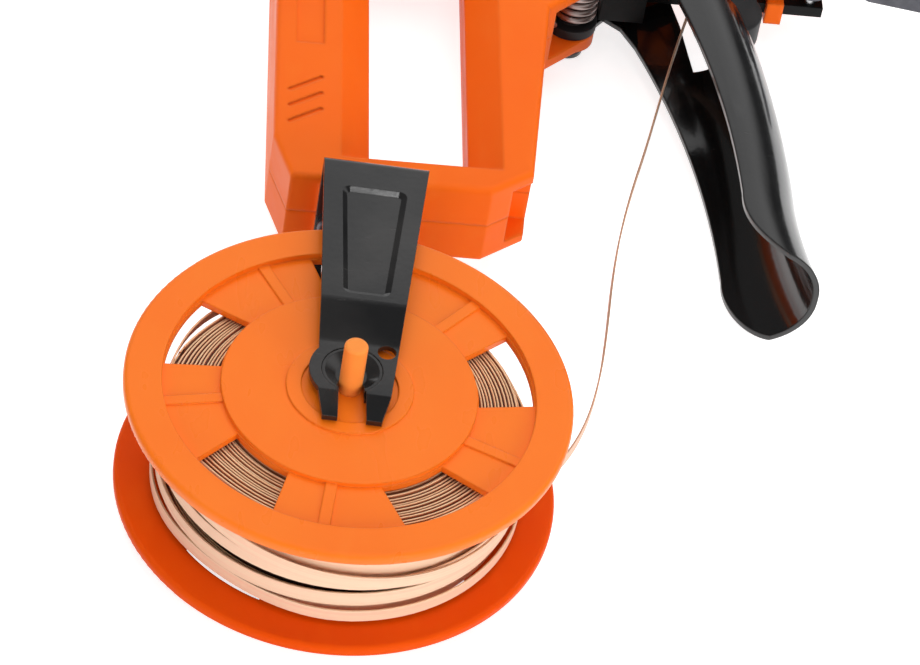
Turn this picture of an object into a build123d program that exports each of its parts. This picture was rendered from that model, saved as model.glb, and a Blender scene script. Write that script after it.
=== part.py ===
from build123d import *
import math
import os

# Vine tying tool, lying on its side: +X points to the lever, +Y from the spool to the head, +Z up.
# It is drawn about the spool's axis and moved at the end, so that the origin is under the middle of its box.

# Clearances between pieces
run_gap = 0.06
slide_gap = 0.3
face_gap = 0.3
bore_gap = 0.1

# Housing: a D frame in two halves with a round nose
housing_half = 13.5
wall = 2.5
underside_y = 82.5
rear_x = -20.5
opening_rear_x = 6.4
opening_front_x = 33.6
opening_low_y = 99.5
opening_high_y = 196.0
opening_bevel = 8.5
edge_round = 1.6
front_foot_x = 50.6
front_foot_y = 91.0
front_top_x = 57.0
front_top_y = 160.5
rear_corner_x = 5.0
rear_corner_y = 15.5
front_corner_x = 39.0
body_top_y = 256.0
body_low_y = 206.0
body_corner = 12.0
body_step_x = 61.0
groove_depth = 0.6
groove_width = 1.3
groove_pitch = 6.4
groove_count = 3
panel_depth = 0.5
foot_slot_half = 9.5
foot_slot_depth = 5.5

# Round nose that carries the twister
nose_r = 25.0
nose_wall = 3.5
nose_rear_x = 94.0
nose_front_x = 134.0
nose_low_y = 203.0
twist_y = nose_low_y + nose_r
bearing_r = 13.0
bearing_width = 8.0
bearing_seat_r = 16.5

# Lever pivot
pivot_x = 66.5
pivot_y = 179.0
pivot_pin_r = 2.6
lug_eye_r = 7.2
spring_wire = 2.2
spring_bore_r = 4.6
spring_mean_r = spring_bore_r + spring_wire / 2
spring_pitch = spring_wire + 0.45
spring_turns = 4.125
sleeve_flange = 3.0
lug_inner = (sleeve_flange + spring_turns * spring_pitch + spring_wire + 1.9) / 2

# Lever, a pressed channel
lever_sheet = 1.6
washer_room = 2.9
lever_half = housing_half + washer_room + lever_sheet
lever_bend_r = 17.0
lever_eye_r = 4.8
crest_top = (115.8, 165.9)
crest_middle = (121.9, 130.0)
crest_flare = (124.3, 96.0)
crest_end = (129.1, 64.2)
free_top = (86.7, 180.5)
free_middle = (101.5, 130.0)
free_end = (106.6, 86.0)
lever_stroke = 20.0

# Drive from the lever to the lower jaw
drive_pin_x = 82.0
drive_pin_y = 198.7
drive_pin_r = 2.5
bar_inner = 9.0
bar_outer = 12.5
bar_height = 6.0
push_line_y = drive_pin_y + 0.2
jaw_pivot_x = 141.0
jaw_arm = 12.0
jaw_stroke = 28.0
jaw_half = 5.0
jaw_pin_r = 2.5
push_pin_r = 2.0
jaw_eye_r = 7.0

# Ribbon guide under the nose
guide_pad_y = 201.5
guide_x0 = 104.0
guide_x1 = 122.0
guide_end_r = 9.5
guide_end_x = 110.8
guide_end_y = 176.0
guide_notch_gap = 0.9
roller_r = 5.1
roller_x = 105.4
roller_y = 178.0
roller_half = 2.6
roller_pin_r = 1.48

# Spool
spool_r = 57.5
spool_half = 19.1
flange_height = 3.6
rim_width = 9.7
hub_disc_r = 32.8
window_count = 5
window_half_angle = 15.3
window_first_angle = 10.4
window_skew = 4.0
spoke_sink = 1.7
hub_sink = 0.5
boss_inner_r = 12.5
boss_outer_r = 16.3
hub_r = 21.0
axle_r = 3.05
axle_top = 34.3
axle_head_r = 5.5
axle_head_height = 2.4

# Ribbon
ribbon_width = 4.0
ribbon_thick = 0.7
pack_r = 48.1
pack_near_r = 43.2
pack_step_z = 4.3
pack_side_gap = 0.9
pack_turns = 3.0
pack_near_turns = 1.2
pack_pitch = 4.8
ribbon_leave = -19.0

# Spool bracket, one bent sheet
bracket_sheet = 1.6
bracket_outer = 24.4
bracket_plate_top = 22.2
bracket_web_y = 79.2
bracket_half_at_axle = 9.6
bracket_taper = 0.0575
bracket_lean = -3.8
keyhole_r = 7.9
keyhole_y = 3.1
keyhole_slot_half = 3.35
bracket_shift = 1.2
bracket_bend_r = 16.0
ear_r = 11.0
bracket_screw_pitch = 17.0
bracket_screw_r = 2.0

# Inner works
cell_r = 9.2
cell_length = 65.0
cell_x = -7.2
cell_low_y = 112.0
motor_r = 10.5
motor_length = 32.0
motor_x = 14.0
gearbox_length = 12.0
twister_r = 6.0
output_r = 2.5
board_thick = 1.6
board_z = 4.0
button_r = 4.5
button_travel = 1.2

# Housing screws
screw_r = 1.5
screw_head_r = 2.8
screw_head_height = 2.0
screw_boss_r = 3.8


def box(x0, x1, y0, y1, z0, z1):
    """A box between two corners."""
    size = Box(x1 - x0, y1 - y0, z1 - z0)
    return Pos((x0 + x1) / 2, (y0 + y1) / 2, (z0 + z1) / 2) * size


def rod_z(x, y, r, z0, z1):
    """A round bar along Z."""
    return Pos(x, y, (z0 + z1) / 2) * Cylinder(r, z1 - z0)


def rod_y(x, z, r, y0, y1):
    """A round bar along Y."""
    return Pos(x, (y0 + y1) / 2, z) * Rot(90, 0, 0) * Cylinder(r, y1 - y0)


def rod_x(y, z, r, x0, x1):
    """A round bar along X."""
    return Pos((x0 + x1) / 2, y, z) * Rot(0, 90, 0) * Cylinder(r, x1 - x0)


def slab(points, z0, z1):
    """A flat plate with a straight-sided outline."""
    face = make_face(Polyline(*points, close=True))
    return extrude(Pos(0, 0, z0) * face, z1 - z0)


def mirror_pair(shape):
    """The shape and its mirror image below the middle plane."""
    return shape + mirror(shape, about=Plane.XY)


def circle_through(a, b, c):
    """Centre and radius of the circle through three points."""
    d = 2 * (a[0] * (b[1] - c[1]) + b[0] * (c[1] - a[1]) + c[0] * (a[1] - b[1]))
    sq = [p[0] ** 2 + p[1] ** 2 for p in (a, b, c)]
    x = (sq[0] * (b[1] - c[1]) + sq[1] * (c[1] - a[1]) + sq[2] * (a[1] - b[1])) / d
    y = (sq[0] * (c[0] - b[0]) + sq[1] * (a[0] - c[0]) + sq[2] * (b[0] - a[0])) / d
    return (x, y), math.hypot(a[0] - x, a[1] - y)


def biarc(start, start_dir, end, end_dir):
    """Two tangent arcs from one point and direction to another."""
    span = end - start
    both = start_dir + end_dir
    spread = 2 * (start_dir.dot(end_dir) - 1)
    along = span.dot(both)
    reach = (along - math.sqrt(along**2 - spread * span.dot(span))) / spread
    first = start + start_dir * reach
    second = end - end_dir * reach
    joint = (first + second) * 0.5
    return [
        Edge.make_tangent_arc(start, start_dir, joint),
        Edge.make_tangent_arc(joint, second - first, end),
    ]


def helix_edges(radius, pitch, turns, z0, start_angle, sense):
    """A helix about the Z axis as biarcs of about a quarter turn, with its points and directions."""
    steps = math.ceil(turns * 4)
    rise = pitch * turns / steps
    points = []
    for i in range(steps + 1):
        angle = math.radians(start_angle + sense * 360 * turns / steps * i)
        place = Vector(radius * math.cos(angle), radius * math.sin(angle), z0 + rise * i)
        heading = Vector(
            -sense * radius * math.sin(angle), sense * radius * math.cos(angle), pitch / (2 * math.pi)
        )
        points.append((place, heading.normalized()))
    edges = []
    for (p, d), (q, e) in zip(points, points[1:]):
        edges += biarc(p, d, q, e)
    return edges, points


def least_self_gap(edges, thickness, skip):
    """Least clear distance between stretches of a path that lie more than skip apart along it."""
    marks = []
    run = 0.0
    for edge in edges:
        for step in range(12):
            marks.append((run + edge.length * step / 12, edge.position_at(step / 12)))
        run += edge.length
    nearest = 1e9
    for i, (s, p) in enumerate(marks):
        for t, q in marks[i + 1 :]:
            if t - s > skip:
                nearest = min(nearest, (p - q).length)
    return nearest - thickness


def front_x(y):
    """Front face of the front column at a height."""
    share = (y - front_foot_y) / (front_top_y - front_foot_y)
    return front_foot_x + share * (front_top_x - front_foot_x)


# Housing, drawn whole and then split on the middle plane
carrier = Rot(0, 0, bracket_lean)
outline = [
    (rear_x + rear_corner_x, underside_y),
    (front_corner_x, underside_y),
    (front_foot_x, front_foot_y),
    (front_top_x, front_top_y),
    (pivot_x + lug_eye_r * 0.7, pivot_y - lug_eye_r * 0.72),
    (pivot_x, pivot_y + lug_eye_r),
    (body_step_x - 1.0, pivot_y + lug_eye_r + 6.0),
    (body_step_x, body_low_y),
    (nose_rear_x + nose_wall, body_low_y),
    (nose_rear_x + nose_wall, body_top_y - 6.0),
    (nose_rear_x - 14.0, body_top_y),
    (rear_x + body_corner, body_top_y),
    (rear_x, body_top_y - body_corner),
    (rear_x, underside_y + rear_corner_y),
]
shell = slab(outline, -housing_half, housing_half)
face_edges = shell.faces().sort_by(Axis.Z)[-1].edges() + shell.faces().sort_by(Axis.Z)[0].edges()
shell = fillet(face_edges, edge_round)
shell += rod_z(pivot_x, pivot_y, lug_eye_r, -housing_half, housing_half)
nose = rod_x(twist_y, 0, nose_r, nose_rear_x, nose_front_x)
nose = fillet(nose.edges(), 3.0)
shell += nose

# Hand opening with a broad bevel on both faces
hole_w = opening_front_x - opening_rear_x
hole_h = opening_high_y - opening_low_y
hole_x = (opening_front_x + opening_rear_x) / 2
hole_y = (opening_high_y + opening_low_y) / 2
hole_face = Pos(hole_x, hole_y, 0) * Rectangle(hole_w, hole_h)
shell -= extrude(hole_face, housing_half, both=True)
bevel = extrude(Pos(0, 0, housing_half - opening_bevel) * hole_face, opening_bevel, taper=-45)
shell -= mirror_pair(bevel)

# Grooves and shallow panel on the rear column, both sides alike
groove_start = (-16.7, 103.2)
groove_end = (-7.2, 109.6)
groove_turn = math.degrees(math.atan2(groove_end[1] - groove_start[1], groove_end[0] - groove_start[0]))
groove_length = math.hypot(groove_end[0] - groove_start[0], groove_end[1] - groove_start[1])
groove_face = SlotOverall(groove_length, groove_width)
for i in range(groove_count):
    middle_x = (groove_start[0] + groove_end[0]) / 2
    middle_y = (groove_start[1] + groove_end[1]) / 2 + i * groove_pitch
    place = Pos(middle_x, middle_y, housing_half - groove_depth) * Rot(0, 0, groove_turn)
    shell -= mirror_pair(extrude(place * groove_face, groove_depth * 2))
panel = box(-14.7, -7.0, 136.0, opening_high_y - 6.0, housing_half - panel_depth, housing_half + 1)
shell -= mirror_pair(panel)

# Slot at the foot of the front column
shell -= box(
    front_foot_x - foot_slot_depth,
    front_foot_x + 20,
    underside_y - 5,
    front_foot_y + 6,
    -foot_slot_half,
    foot_slot_half,
)

# Clevis gap for the lever's spring
clevis_x = pivot_x - spring_mean_r - spring_wire / 2 - face_gap
sleeve_r = spring_mean_r + spring_wire / 2 + 0.6
sleeve_low = -lug_inner + face_gap
shell -= box(clevis_x, pivot_x + 30, pivot_y - 30, pivot_y + lug_eye_r + 5, -lug_inner, lug_inner)
shell -= rod_z(pivot_x, pivot_y, sleeve_r + face_gap, -lug_inner, sleeve_low + sleeve_flange + face_gap)
shell -= rod_z(pivot_x, pivot_y, pivot_pin_r, -housing_half * 2, housing_half * 2)

# Hollow for the works
cavity_half = housing_half - wall
cavity_low_y = opening_high_y + opening_bevel + 2.0
switch_bay_x = opening_front_x + opening_bevel + 1.5
switch_bay_y = opening_high_y + wall + 0.5
body_cavity = slab(
    [
        (rear_x + wall, cavity_low_y),
        (switch_bay_x, cavity_low_y),
        (switch_bay_x, switch_bay_y),
        (body_step_x - wall - 0.5, switch_bay_y),
        (body_step_x - wall - 0.5, body_low_y + wall),
        (nose_rear_x - wall, body_low_y + wall),
        (nose_rear_x - wall, body_top_y - 8.5),
        (nose_rear_x - 15.0, body_top_y - wall),
        (rear_x + body_corner + 1.0, body_top_y - wall),
        (rear_x + wall, body_top_y - body_corner - 1.0),
    ],
    -cavity_half,
    cavity_half,
)
cell_bore_r = cell_r + slide_gap
contact_thick = 1.2
cell_floor_y = cell_low_y - contact_thick - 2 * face_gap
cell_top_y = cell_low_y + cell_length
shell -= body_cavity
shell -= rod_y(cell_x, 0, cell_bore_r, cell_floor_y, cavity_low_y + 1.0)
column_cavity = box(
    opening_front_x + 7.5, front_x(opening_low_y) - wall, opening_low_y + 3, front_top_y - 4, -8.0, 8.0
)
shell -= column_cavity

# Nose hollow with its two bearing seats
seat_r = bearing_r + bore_gap / 2
nose_inside = rod_x(twist_y, 0, nose_r - nose_wall, nose_rear_x + nose_wall, nose_front_x - nose_wall)
seat_ring = rod_x(twist_y, 0, bearing_seat_r, nose_rear_x, nose_front_x)
rear_seat_x = nose_rear_x + wall
front_seat_x = nose_front_x - nose_wall - bearing_width
seat_ring -= rod_x(twist_y, 0, bearing_seat_r + 1, rear_seat_x + bearing_width, front_seat_x)
shell -= nose_inside - seat_ring
shell -= rod_x(twist_y, 0, seat_r, rear_seat_x, rear_seat_x + bearing_width + 1)
shell -= rod_x(twist_y, 0, seat_r, front_seat_x - 1, nose_front_x - nose_wall)
shell -= rod_x(twist_y, 0, bearing_r - 3.0, nose_rear_x - wall - 1, nose_front_x + 1)

# Pads, lugs and guides under the nose
shell += box(guide_x0, guide_x1, guide_pad_y, nose_low_y + 2.0, -6.0, 6.0)
jaw_pivot_y = push_line_y + jaw_arm * math.cos(math.radians(jaw_stroke / 2))
lug_in = jaw_half + face_gap
lug_out = lug_in + 5.0
lug_x = nose_front_x - nose_wall + 0.5
jaw_lug = box(lug_x, jaw_pivot_x, jaw_pivot_y - jaw_eye_r, jaw_pivot_y + jaw_eye_r, lug_in, lug_out)
jaw_lug += rod_z(jaw_pivot_x, jaw_pivot_y, jaw_eye_r, lug_in, lug_out)
bar_low_y = push_line_y - bar_height / 2
bar_guide_x = nose_front_x - 9.0
bar_guide = box(
    bar_guide_x, bar_guide_x + 5, bar_low_y - 2.5, nose_low_y + 6, bar_inner - 2.0, bar_outer + 2.0
)
bar_guide -= box(
    bar_guide_x - 1,
    bar_guide_x + 6,
    bar_low_y - slide_gap,
    bar_low_y + bar_height + slide_gap,
    bar_inner - slide_gap,
    bar_outer + slide_gap,
)
bar_guide -= rod_x(twist_y, 0, nose_r - nose_wall, nose_rear_x, nose_front_x)
shell += mirror_pair(jaw_lug + bar_guide)
shell -= rod_z(jaw_pivot_x, jaw_pivot_y, jaw_pin_r, -nose_r, nose_r)

# Seat for the spool bracket, square to the bracket
seat = carrier * box(-13.0, 13.0, bracket_web_y, underside_y + 3.0, -11.0, 11.0)
shell += seat & box(-40, 60, 60, underside_y + 3.0, -20, 20)
nut_thick = 3.0
nut_y = bracket_web_y + 7.0
nut_half = (bracket_screw_pitch / 2 + 5.0, 6.0)
nut_pocket = box(
    -nut_half[0] - bore_gap,
    nut_half[0] + bore_gap,
    nut_y - bore_gap,
    nut_y + nut_thick + bore_gap,
    -nut_half[1] - bore_gap,
    nut_half[1] + bore_gap,
)
shell -= carrier * nut_pocket
bracket_screw_xs = [-bracket_screw_pitch / 2, bracket_screw_pitch / 2]
screw_reach = nut_y + nut_thick + 2.5
for x in bracket_screw_xs:
    shell -= carrier * rod_y(x, 0, bracket_screw_r + bore_gap, bracket_web_y - 1, screw_reach + 0.5)

# Openings for the button, the socket and the switch rod
button_x = -4.0
button_y = 226.0
socket_y = 212.0
socket_half = 4.6
socket_height = 3.2
shell -= rod_z(button_x, button_y, button_r + slide_gap, cavity_half - 1, housing_half + 2)
shell -= box(
    rear_x - 1,
    rear_x + wall + 1,
    socket_y - socket_half - bore_gap,
    socket_y + socket_half + bore_gap,
    board_z - socket_height - bore_gap,
    board_z + bore_gap,
)
switch_rod_r = 1.6
switch_rod_y = 202.4
shell -= rod_x(switch_rod_y, 0, switch_rod_r + slide_gap, body_step_x - wall - 2, body_step_x + 4)

# Screw bosses and holes
screw_places = [
    (rear_x + 6.5, underside_y + 11.0),
    (front_corner_x - 2.0, underside_y + 8.5),
    (front_top_x - 9.0, front_top_y + 5.0),
    (22.0, cavity_low_y + 4.5),
    (22.0, body_top_y - 8.0),
    (72.0, body_top_y - 8.0),
]
for x, y in screw_places[3:]:
    shell += rod_z(x, y, screw_boss_r, -housing_half + 0.5, housing_half - 0.5)
screw_tip = housing_half - 4.0
screw_seat_z = -housing_half + screw_head_height + 0.4
for x, y in screw_places:
    shell -= rod_z(x, y, screw_r + bore_gap, -housing_half - 1, screw_tip + 0.5)
    shell -= rod_z(x, y, screw_head_r + bore_gap, -housing_half - 1, screw_seat_z)

half_space = 400.0
housing_near = shell & box(-half_space, half_space, -half_space, half_space, 0, half_space)
housing_far = shell & box(-half_space, half_space, -half_space, half_space, -half_space, 0)


def screw_along_z(x, y):
    """A countersunk-seat housing screw, head on the far side."""
    head_z = screw_seat_z - screw_head_height
    screw = rod_z(x, y, screw_head_r, head_z, screw_seat_z)
    screw += rod_z(x, y, screw_r, head_z, screw_tip)
    return screw - rod_z(x, y, 1.0, head_z - 1, head_z + 1.0)


housing_screws = [screw_along_z(x, y) for x, y in screw_places]

# Lever pivot pin, its ring, washers and the spring's sleeve
flange_in = lever_half - lever_sheet
pin_head = 2.2
pin_far_z = -lever_half - 1.4
pin_seat_z = lever_half + 0.2
lever_pivot_pin = rod_z(pivot_x, pivot_y, pivot_pin_r, pin_far_z, pin_seat_z)
lever_pivot_pin += rod_z(pivot_x, pivot_y, pivot_pin_r + 2.5, pin_seat_z, pin_seat_z + pin_head)
pivot_ring = rod_z(pivot_x, pivot_y, pivot_pin_r + 0.9, pin_far_z + 0.2, -lever_half - 0.2)
pivot_ring -= rod_z(pivot_x, pivot_y, pivot_pin_r, pin_far_z - 1, 0)
washer = rod_z(pivot_x, pivot_y, pivot_pin_r + 2.4, housing_half + bore_gap, flange_in - bore_gap)
washer -= rod_z(pivot_x, pivot_y, pivot_pin_r + run_gap, 0, lever_half)
pivot_washers = [washer, mirror(washer, about=Plane.XY)]
spring_sleeve = rod_z(pivot_x, pivot_y, spring_bore_r - 0.4, sleeve_low, lug_inner - face_gap)
spring_sleeve += rod_z(pivot_x, pivot_y, sleeve_r, sleeve_low, sleeve_low + sleeve_flange)
spring_sleeve -= rod_z(pivot_x, pivot_y, pivot_pin_r + run_gap, -lug_inner, lug_inner)

# Torsion spring: one wire, a straight leg on the column and one on the lever's peg
spring_low = sleeve_low + sleeve_flange + spring_wire / 2 + 0.3
coil, coil_points = helix_edges(spring_mean_r, spring_pitch, spring_turns, spring_low, 180.0, -1)
leg_length = 13.0
(first_place, first_dir), (last_place, last_dir) = coil_points[0], coil_points[-1]
leg_in = Edge.make_line(first_place - first_dir * leg_length, first_place)
leg_out = Edge.make_line(last_place, last_place + last_dir * leg_length)
spring_path = Wire([leg_in, *coil, leg_out])
spring_face = Plane(origin=spring_path @ 0, z_dir=spring_path % 0) * Circle(spring_wire / 2)
torsion_spring = Pos(pivot_x, pivot_y, 0) * sweep(spring_face, path=spring_path)
spring_gap = least_self_gap(coil, spring_wire, spring_mean_r * 3)
print("torsion spring least self gap", round(spring_gap, 2))

# Lever: a half-round pressed channel with a flared end, open at the back round the drive at the top
upper_centre, upper_r = circle_through(crest_top, crest_middle, crest_flare)
out_x = (crest_flare[0] - upper_centre[0]) / upper_r
out_y = (crest_flare[1] - upper_centre[1]) / upper_r
flare_x = crest_end[0] - crest_flare[0]
flare_y = crest_end[1] - crest_flare[1]
lower_r = (flare_x**2 + flare_y**2) / (2 * (flare_x * out_x + flare_y * out_y))
lower_centre = (crest_flare[0] + out_x * lower_r, crest_flare[1] + out_y * lower_r)
channel_low = crest_end[1] - 8.0
channel_high = 215.0


def on_upper(y, inward):
    """A point of the crest's upper arc, moved into the channel."""
    r = upper_r - inward
    return (upper_centre[0] + math.sqrt(r**2 - (y - upper_centre[1]) ** 2), y)


def on_lower(y, inward):
    """A point of the crest's flared arc, moved into the channel."""
    r = lower_r + inward
    return (lower_centre[0] - math.sqrt(r**2 - (y - lower_centre[1]) ** 2), y)


def channel(inward, half, bend):
    """A solid half-round bar under the crest, wide enough to be cut to the lever's outline."""
    meet = (crest_flare[0] - out_x * inward, crest_flare[1] - out_y * inward)
    low = on_lower(channel_low, inward)
    high = on_upper(channel_high, inward)
    crest = [
        ThreePointArc(low, on_lower((channel_low + meet[1]) / 2, inward), meet),
        ThreePointArc(meet, on_upper((channel_high + meet[1]) / 2, inward), high),
    ]
    back = Polyline(high, (20.0, channel_high), (20.0, channel_low), low)
    bar = extrude(Pos(0, 0, -half) * make_face([*crest, *back.edges()]), 2 * half)
    rims = bar.edges().filter_by(GeomType.CIRCLE).filter_by(Plane.XY)
    return fillet(rims, bend)


lever_shell = channel(0.0, lever_half, lever_bend_r)
lever_shell -= channel(lever_sheet, flange_in, lever_bend_r - lever_sheet)
eye_left = (pivot_x - lever_eye_r * 0.6, pivot_y + lever_eye_r * 0.8)
eye_right = (pivot_x + lever_eye_r * 0.77, pivot_y + lever_eye_r * 0.64)
web_cut_y = 165.6
end_y = crest_end[1] + 0.2
end_corner = (118.6, end_y)
straight_edges = Polyline(
    end_corner,
    (140.0, end_y),
    (140.0, web_cut_y),
    (103.2, 170.0),
    (100.1, 188.4),
    (97.0, 201.0),
    (92.0, 207.0),
    (84.0, 208.6),
    (75.0, 206.0),
    (62.5, 195.0),
    eye_left,
    (pivot_x, pivot_y),
    eye_right,
    (78.0, 191.7),
    (82.8, 187.9),
    free_top,
)
lever_line = [
    *straight_edges.edges(),
    ThreePointArc(free_top, free_middle, free_end),
    ThreePointArc(free_end, (110.3, 71.8), end_corner),
]
lever = lever_shell & extrude(Pos(0, 0, -30) * make_face(lever_line), 60)
eye = rod_z(pivot_x, pivot_y, lever_eye_r, flange_in, lever_half)
lever += mirror_pair(eye)
lever -= rod_z(pivot_x, pivot_y, pivot_pin_r + run_gap, -30, 30)
lever -= rod_z(drive_pin_x, drive_pin_y, drive_pin_r + bore_gap / 2, -30, 30)
notch_half = jaw_half + guide_notch_gap
lever -= rod_z(guide_end_x, guide_end_y, guide_end_r + guide_notch_gap, -notch_half, notch_half)
drive_pin = rod_z(drive_pin_x, drive_pin_y, drive_pin_r, -lever_half - 0.6, lever_half + 0.6)
peg_r = 1.6
peg_out = spring_wire / 2 + peg_r + face_gap
peg_run = last_place + last_dir * (leg_length - 2.0)
peg_x = pivot_x + peg_run.X - last_dir.Y * peg_out
peg_y = pivot_y + peg_run.Y + last_dir.X * peg_out
spring_peg = rod_z(peg_x, peg_y, peg_r, peg_run.Z - 1.6, flange_in)

# Push frame: two bars beside the ribbon guide, a slotted block at the rear and a pin at the front
stroke_rad = math.radians(lever_stroke)
arm_x = drive_pin_x - pivot_x
arm_y = drive_pin_y - pivot_y
push_travel = arm_x * math.cos(stroke_rad) + arm_y * math.sin(stroke_rad) - arm_x
drive_drop = arm_x * math.sin(stroke_rad) + arm_y * (1 - math.cos(stroke_rad))
push_x = jaw_pivot_x - jaw_arm * math.sin(math.radians(jaw_stroke / 2))
push_y = jaw_pivot_y - jaw_arm * math.cos(math.radians(jaw_stroke / 2))
block_half = 6.5
slot_play = 0.7
block_low = drive_pin_y - drive_drop - drive_pin_r - 3.5
block_high = drive_pin_y + drive_pin_r + 3.0
push_frame = box(
    drive_pin_x - block_half, drive_pin_x + block_half, block_low, block_high, -bar_outer, bar_outer
)
push_frame -= box(
    drive_pin_x - drive_pin_r - slot_play,
    drive_pin_x + drive_pin_r + slot_play,
    drive_pin_y - drive_drop - drive_pin_r - 0.6,
    drive_pin_y + drive_pin_r + 0.6,
    -20,
    20,
)
bar_rear_x = drive_pin_x + block_half - 0.5
bar = box(bar_rear_x, push_x + 4.0, bar_low_y, bar_low_y + bar_height, bar_inner, bar_outer)
bar -= rod_z(push_x, push_y, push_pin_r + bore_gap / 2, 0, 20)
push_frame += mirror_pair(bar)
switch_x = body_step_x - wall - 5.0
push_frame += rod_x(switch_rod_y, 0, switch_rod_r, switch_x, drive_pin_x - block_half + 0.5)
push_pin = rod_z(push_x, push_y, push_pin_r, -bar_outer - 0.4, bar_outer + 0.4)

# Lower jaw: a hooked finger that swings up, and its pivot pin
jaw_points = [
    (jaw_pivot_x + 2.0, jaw_pivot_y - jaw_eye_r),
    (jaw_pivot_x + 14.0, jaw_pivot_y - 14.5),
    (jaw_pivot_x + 30.0, jaw_pivot_y - 17.5),
    (jaw_pivot_x + 46.0, jaw_pivot_y - 8.0),
    (jaw_pivot_x + 55.0, jaw_pivot_y + 6.0),
    (jaw_pivot_x + 51.5, jaw_pivot_y + 8.0),
    (jaw_pivot_x + 41.0, jaw_pivot_y - 3.0),
    (jaw_pivot_x + 28.0, jaw_pivot_y - 9.0),
    (jaw_pivot_x + 15.0, jaw_pivot_y - 6.0),
    (jaw_pivot_x + 4.0, jaw_pivot_y + 5.0),
]
lower_jaw = slab(jaw_points, -jaw_half, jaw_half)
lower_jaw = fillet(lower_jaw.edges().filter_by(Axis.Z), 1.5)
lower_jaw += rod_z(jaw_pivot_x, jaw_pivot_y, jaw_eye_r - 0.6, -jaw_half, jaw_half)
tail_turn = math.degrees(math.atan2(push_y - jaw_pivot_y, push_x - jaw_pivot_x))
tail_place = Pos(jaw_pivot_x, jaw_pivot_y, -jaw_half) * Rot(0, 0, tail_turn) * Pos(jaw_arm / 2, 0)
lower_jaw += extrude(tail_place * SlotCenterToCenter(jaw_arm, 9.5), 2 * jaw_half)
lower_jaw -= rod_z(jaw_pivot_x, jaw_pivot_y, jaw_pin_r + run_gap, -20, 20)
tail_slot = Rot(0, 0, tail_turn) * SlotCenterToCenter(1.6, 2 * (push_pin_r + slide_gap))
lower_jaw -= extrude(Pos(push_x, push_y, -20) * tail_slot, 40)
jaw_pin_end = lug_out + 1.2
jaw_pivot_pin = rod_z(jaw_pivot_x, jaw_pivot_y, jaw_pin_r, -jaw_pin_end, jaw_pin_end)
jaw_pivot_pin += mirror_pair(rod_z(jaw_pivot_x, jaw_pivot_y, jaw_pin_r + 1.4, lug_out, jaw_pin_end))

# Upper jaw and its cutter blade, fixed to the nose
jaw_base_y = twist_y + 12.0
upper_points = [
    (nose_front_x, jaw_base_y),
    (nose_front_x, body_top_y - 4.0),
    (nose_front_x + 30.0, body_top_y),
    (nose_front_x + 52.0, body_top_y - 4.0),
    (nose_front_x + 55.0, body_top_y - 9.0),
    (nose_front_x + 31.0, body_top_y - 9.0),
    (nose_front_x + 15.0, jaw_base_y + 3.0),
    (nose_front_x + 6.0, jaw_base_y),
]
upper_jaw = slab(upper_points, -jaw_half - 1, jaw_half + 1)
upper_jaw = fillet(upper_jaw.edges().filter_by(Axis.Z).sort_by(Axis.X)[2:], 1.5)
blade_z = jaw_half + 1
cutter_blade = slab(
    [
        (nose_front_x + 17.0, jaw_base_y + 2.0),
        (nose_front_x + 33.0, body_top_y - 11.0),
        (nose_front_x + 33.0, body_top_y - 3.0),
        (nose_front_x + 17.0, body_top_y - 4.5),
    ],
    blade_z,
    blade_z + 1.2,
)

# Motor, gearbox, bearings and twister on one axis
motor_end = motor_x + motor_length
gearbox_end = motor_end + gearbox_length
drive_motor = rod_x(twist_y, 0, motor_r, motor_x, motor_end)
drive_motor = chamfer(drive_motor.edges(), 0.8)
drive_motor += rod_x(twist_y, 0, 4.0, motor_x - 2.5, motor_x + 0.5)
gearbox = rod_x(twist_y, 0, motor_r - 0.3, motor_end, gearbox_end)
gearbox -= rod_x(twist_y, 0, output_r + run_gap, gearbox_end - 7.0, gearbox_end + 1)
output_shaft = rod_x(twist_y, 0, output_r, gearbox_end - 6.0, gearbox_end + 14.0)
shaft_rear_x = gearbox_end + 12.0
twister_front_x = nose_front_x + 3.0
drive_coupling = rod_x(twist_y, 0, twister_r + 2.5, gearbox_end + 2.0, shaft_rear_x + 12.0)
drive_coupling -= rod_x(twist_y, 0, output_r + bore_gap / 2, gearbox_end, shaft_rear_x + 3.0)
drive_coupling -= rod_x(twist_y, 0, twister_r + bore_gap / 2, shaft_rear_x + 2.2, shaft_rear_x + 13.0)
twister_shaft = rod_x(twist_y, 0, twister_r, shaft_rear_x + 2.4, twister_front_x)
collar_x = rear_seat_x + bearing_width + 0.3
twister_shaft += rod_x(twist_y, 0, twister_r + 2.0, collar_x, front_seat_x - 0.3)
twister_shaft -= rod_x(twist_y, 0, 1.6, twister_front_x - 20, twister_front_x + 1)


def bearing(x):
    """A plain ring bearing on the twister's axis."""
    ring = rod_x(twist_y, 0, bearing_r, x, x + bearing_width)
    ring -= rod_x(twist_y, 0, twister_r + run_gap, x - 1, x + bearing_width + 1)
    groove = rod_x(twist_y, 0, 11.0, x - 1, x + 0.5) - rod_x(twist_y, 0, 8.0, x - 1, x + 0.5)
    return ring - groove


rear_bearing = bearing(rear_seat_x + bore_gap)
front_bearing = bearing(front_seat_x - bore_gap)
hook_r = 8.6
twister_hook = rod_x(twist_y, 0, hook_r, twister_front_x, twister_front_x + 4.0)
twister_hook -= rod_x(twist_y, 0, 1.6, twister_front_x - 1, twister_front_x + 6)
twister_hook -= box(
    twister_front_x + 1.5, twister_front_x + 5, twist_y - 1.2, twist_y + 1.2, -hook_r, hook_r
)
for side in (-1, 1):
    twister_hook += rod_x(twist_y + side * 5.6, 0, 1.6, twister_front_x + 3.5, twister_front_x + 12.0)
    twister_hook += rod_x(twist_y + side * 5.6, 0, 2.4, twister_front_x + 10.5, twister_front_x + 12.5)

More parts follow.
